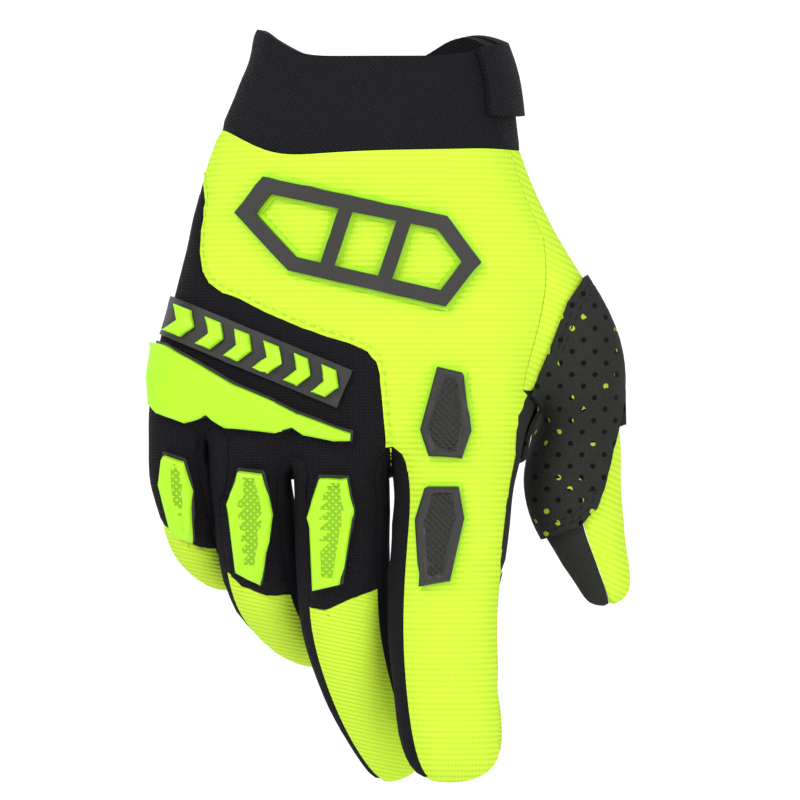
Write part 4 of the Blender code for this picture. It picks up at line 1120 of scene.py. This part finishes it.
patch_front, patch_back = measured(PATCH_FRONT), measured(PATCH_BACK)
skin = bare.copy()
skin.cut(patch_front, THUMB_REGIONS)
skin.cut(patch_back, (*THUMB_REGIONS, "palm"))
patch = [f for f in skin.inside(patch_front, THUMB_REGIONS) if f.normal.y < 0]
patch += [f for f in skin.inside(patch_back, (*THUMB_REGIONS, "palm")) if f.normal.y >= 0]
patch_piece = body_from("thumb_patch_cloth", patch, SEAT_GAP, SEAT_GAP + PATCH_WALL)
shown(patch_piece, "thumb_patch", "suede", perforated_suede())

thread = Shader("thread", THREAD_BLACK, 0.7).material
bright_thread = Shader("bright_thread", darker(YELLOW, 0.8), 0.7).material
dark_row, bright_row = stitch_tree(thread), stitch_tree(bright_thread)
glove_skin = BVHTree.FromBMesh(bare.body)
back_row = [corner + SEAM_STITCH_PLACE for corner in measured(BACK_BORDER)[1:]]
stitched("back_seam_stitches", back_row, glove_skin, SEAM_STITCH_LIFT, bright_row)
for row, inset in enumerate(PATCH_STITCH_INSETS):
    for edge, corners in (("upper", slice(0, 4)), ("lower", slice(8, 13))):
        stitched(f"patch_{edge}_stitches_{row + 1}", grown(patch_front, -inset)[corners], glove_skin,
                 SEAT_GAP + PATCH_WALL, dark_row)

# Studio
CAMERA_PLACE, SHOWN_WIDTH, SENSOR = Vector((0.00624, -1.1, -0.0897)), 0.208, 36
LIT_POINT = Vector((0, 0, CAMERA_PLACE.z))
LAMP_SIZE, KEY_ENERGY, FILL_ENERGY, SKY_STRENGTH = 0.8, 14, 8, 0.75
FLOOR_LEVEL, WALL_BACK, STUDIO_HALF = -0.45, 0.6, 3.0

white = Shader("studio_white", (0.9, 0.9, 0.9), 0.9).material
corners = [(-STUDIO_HALF, -STUDIO_HALF, FLOOR_LEVEL), (STUDIO_HALF, -STUDIO_HALF, FLOOR_LEVEL),
           (STUDIO_HALF, WALL_BACK, FLOOR_LEVEL), (-STUDIO_HALF, WALL_BACK, FLOOR_LEVEL),
           (STUDIO_HALF, WALL_BACK, STUDIO_HALF), (-STUDIO_HALF, WALL_BACK, STUDIO_HALF)]
studio = new_mesh_object("studio_floor", corners, [(0, 1, 2, 3), (3, 2, 4, 5)])
studio.data.materials.append(white)
bpy.context.scene.collection.objects.link(studio)


def lamp(name, place, energy):
    """A square studio light turned to the glove."""
    light = bpy.data.lights.new(name, "AREA")
    light.energy, light.size = energy, LAMP_SIZE
    stand = bpy.data.objects.new(name, light)
    stand.location = place
    stand.rotation_euler = (LIT_POINT - Vector(place)).to_track_quat("-Z", "Y").to_euler()
    bpy.context.scene.collection.objects.link(stand)


lamp("key_light", (-0.7, -1.2, 0.7), KEY_ENERGY)
lamp("fill_light", (0.9, -1.2, 0.1), FILL_ENERGY)
world = bpy.data.worlds.new("studio_world")
world.use_nodes = True
world.node_tree.nodes["Background"].inputs["Color"].default_value = (1, 1, 1, 1)
world.node_tree.nodes["Background"].inputs["Strength"].default_value = SKY_STRENGTH
bpy.context.scene.world = world
bpy.context.scene.view_settings.view_transform = "Standard"

camera = bpy.data.cameras.new("camera")
camera.sensor_width = SENSOR
camera.lens = SENSOR * -CAMERA_PLACE.y / SHOWN_WIDTH
eye = bpy.data.objects.new("camera", camera)
eye.location = CAMERA_PLACE
eye.rotation_euler = (math.radians(90), 0, 0)
bpy.context.scene.collection.objects.link(eye)
bpy.context.scene.camera = eye
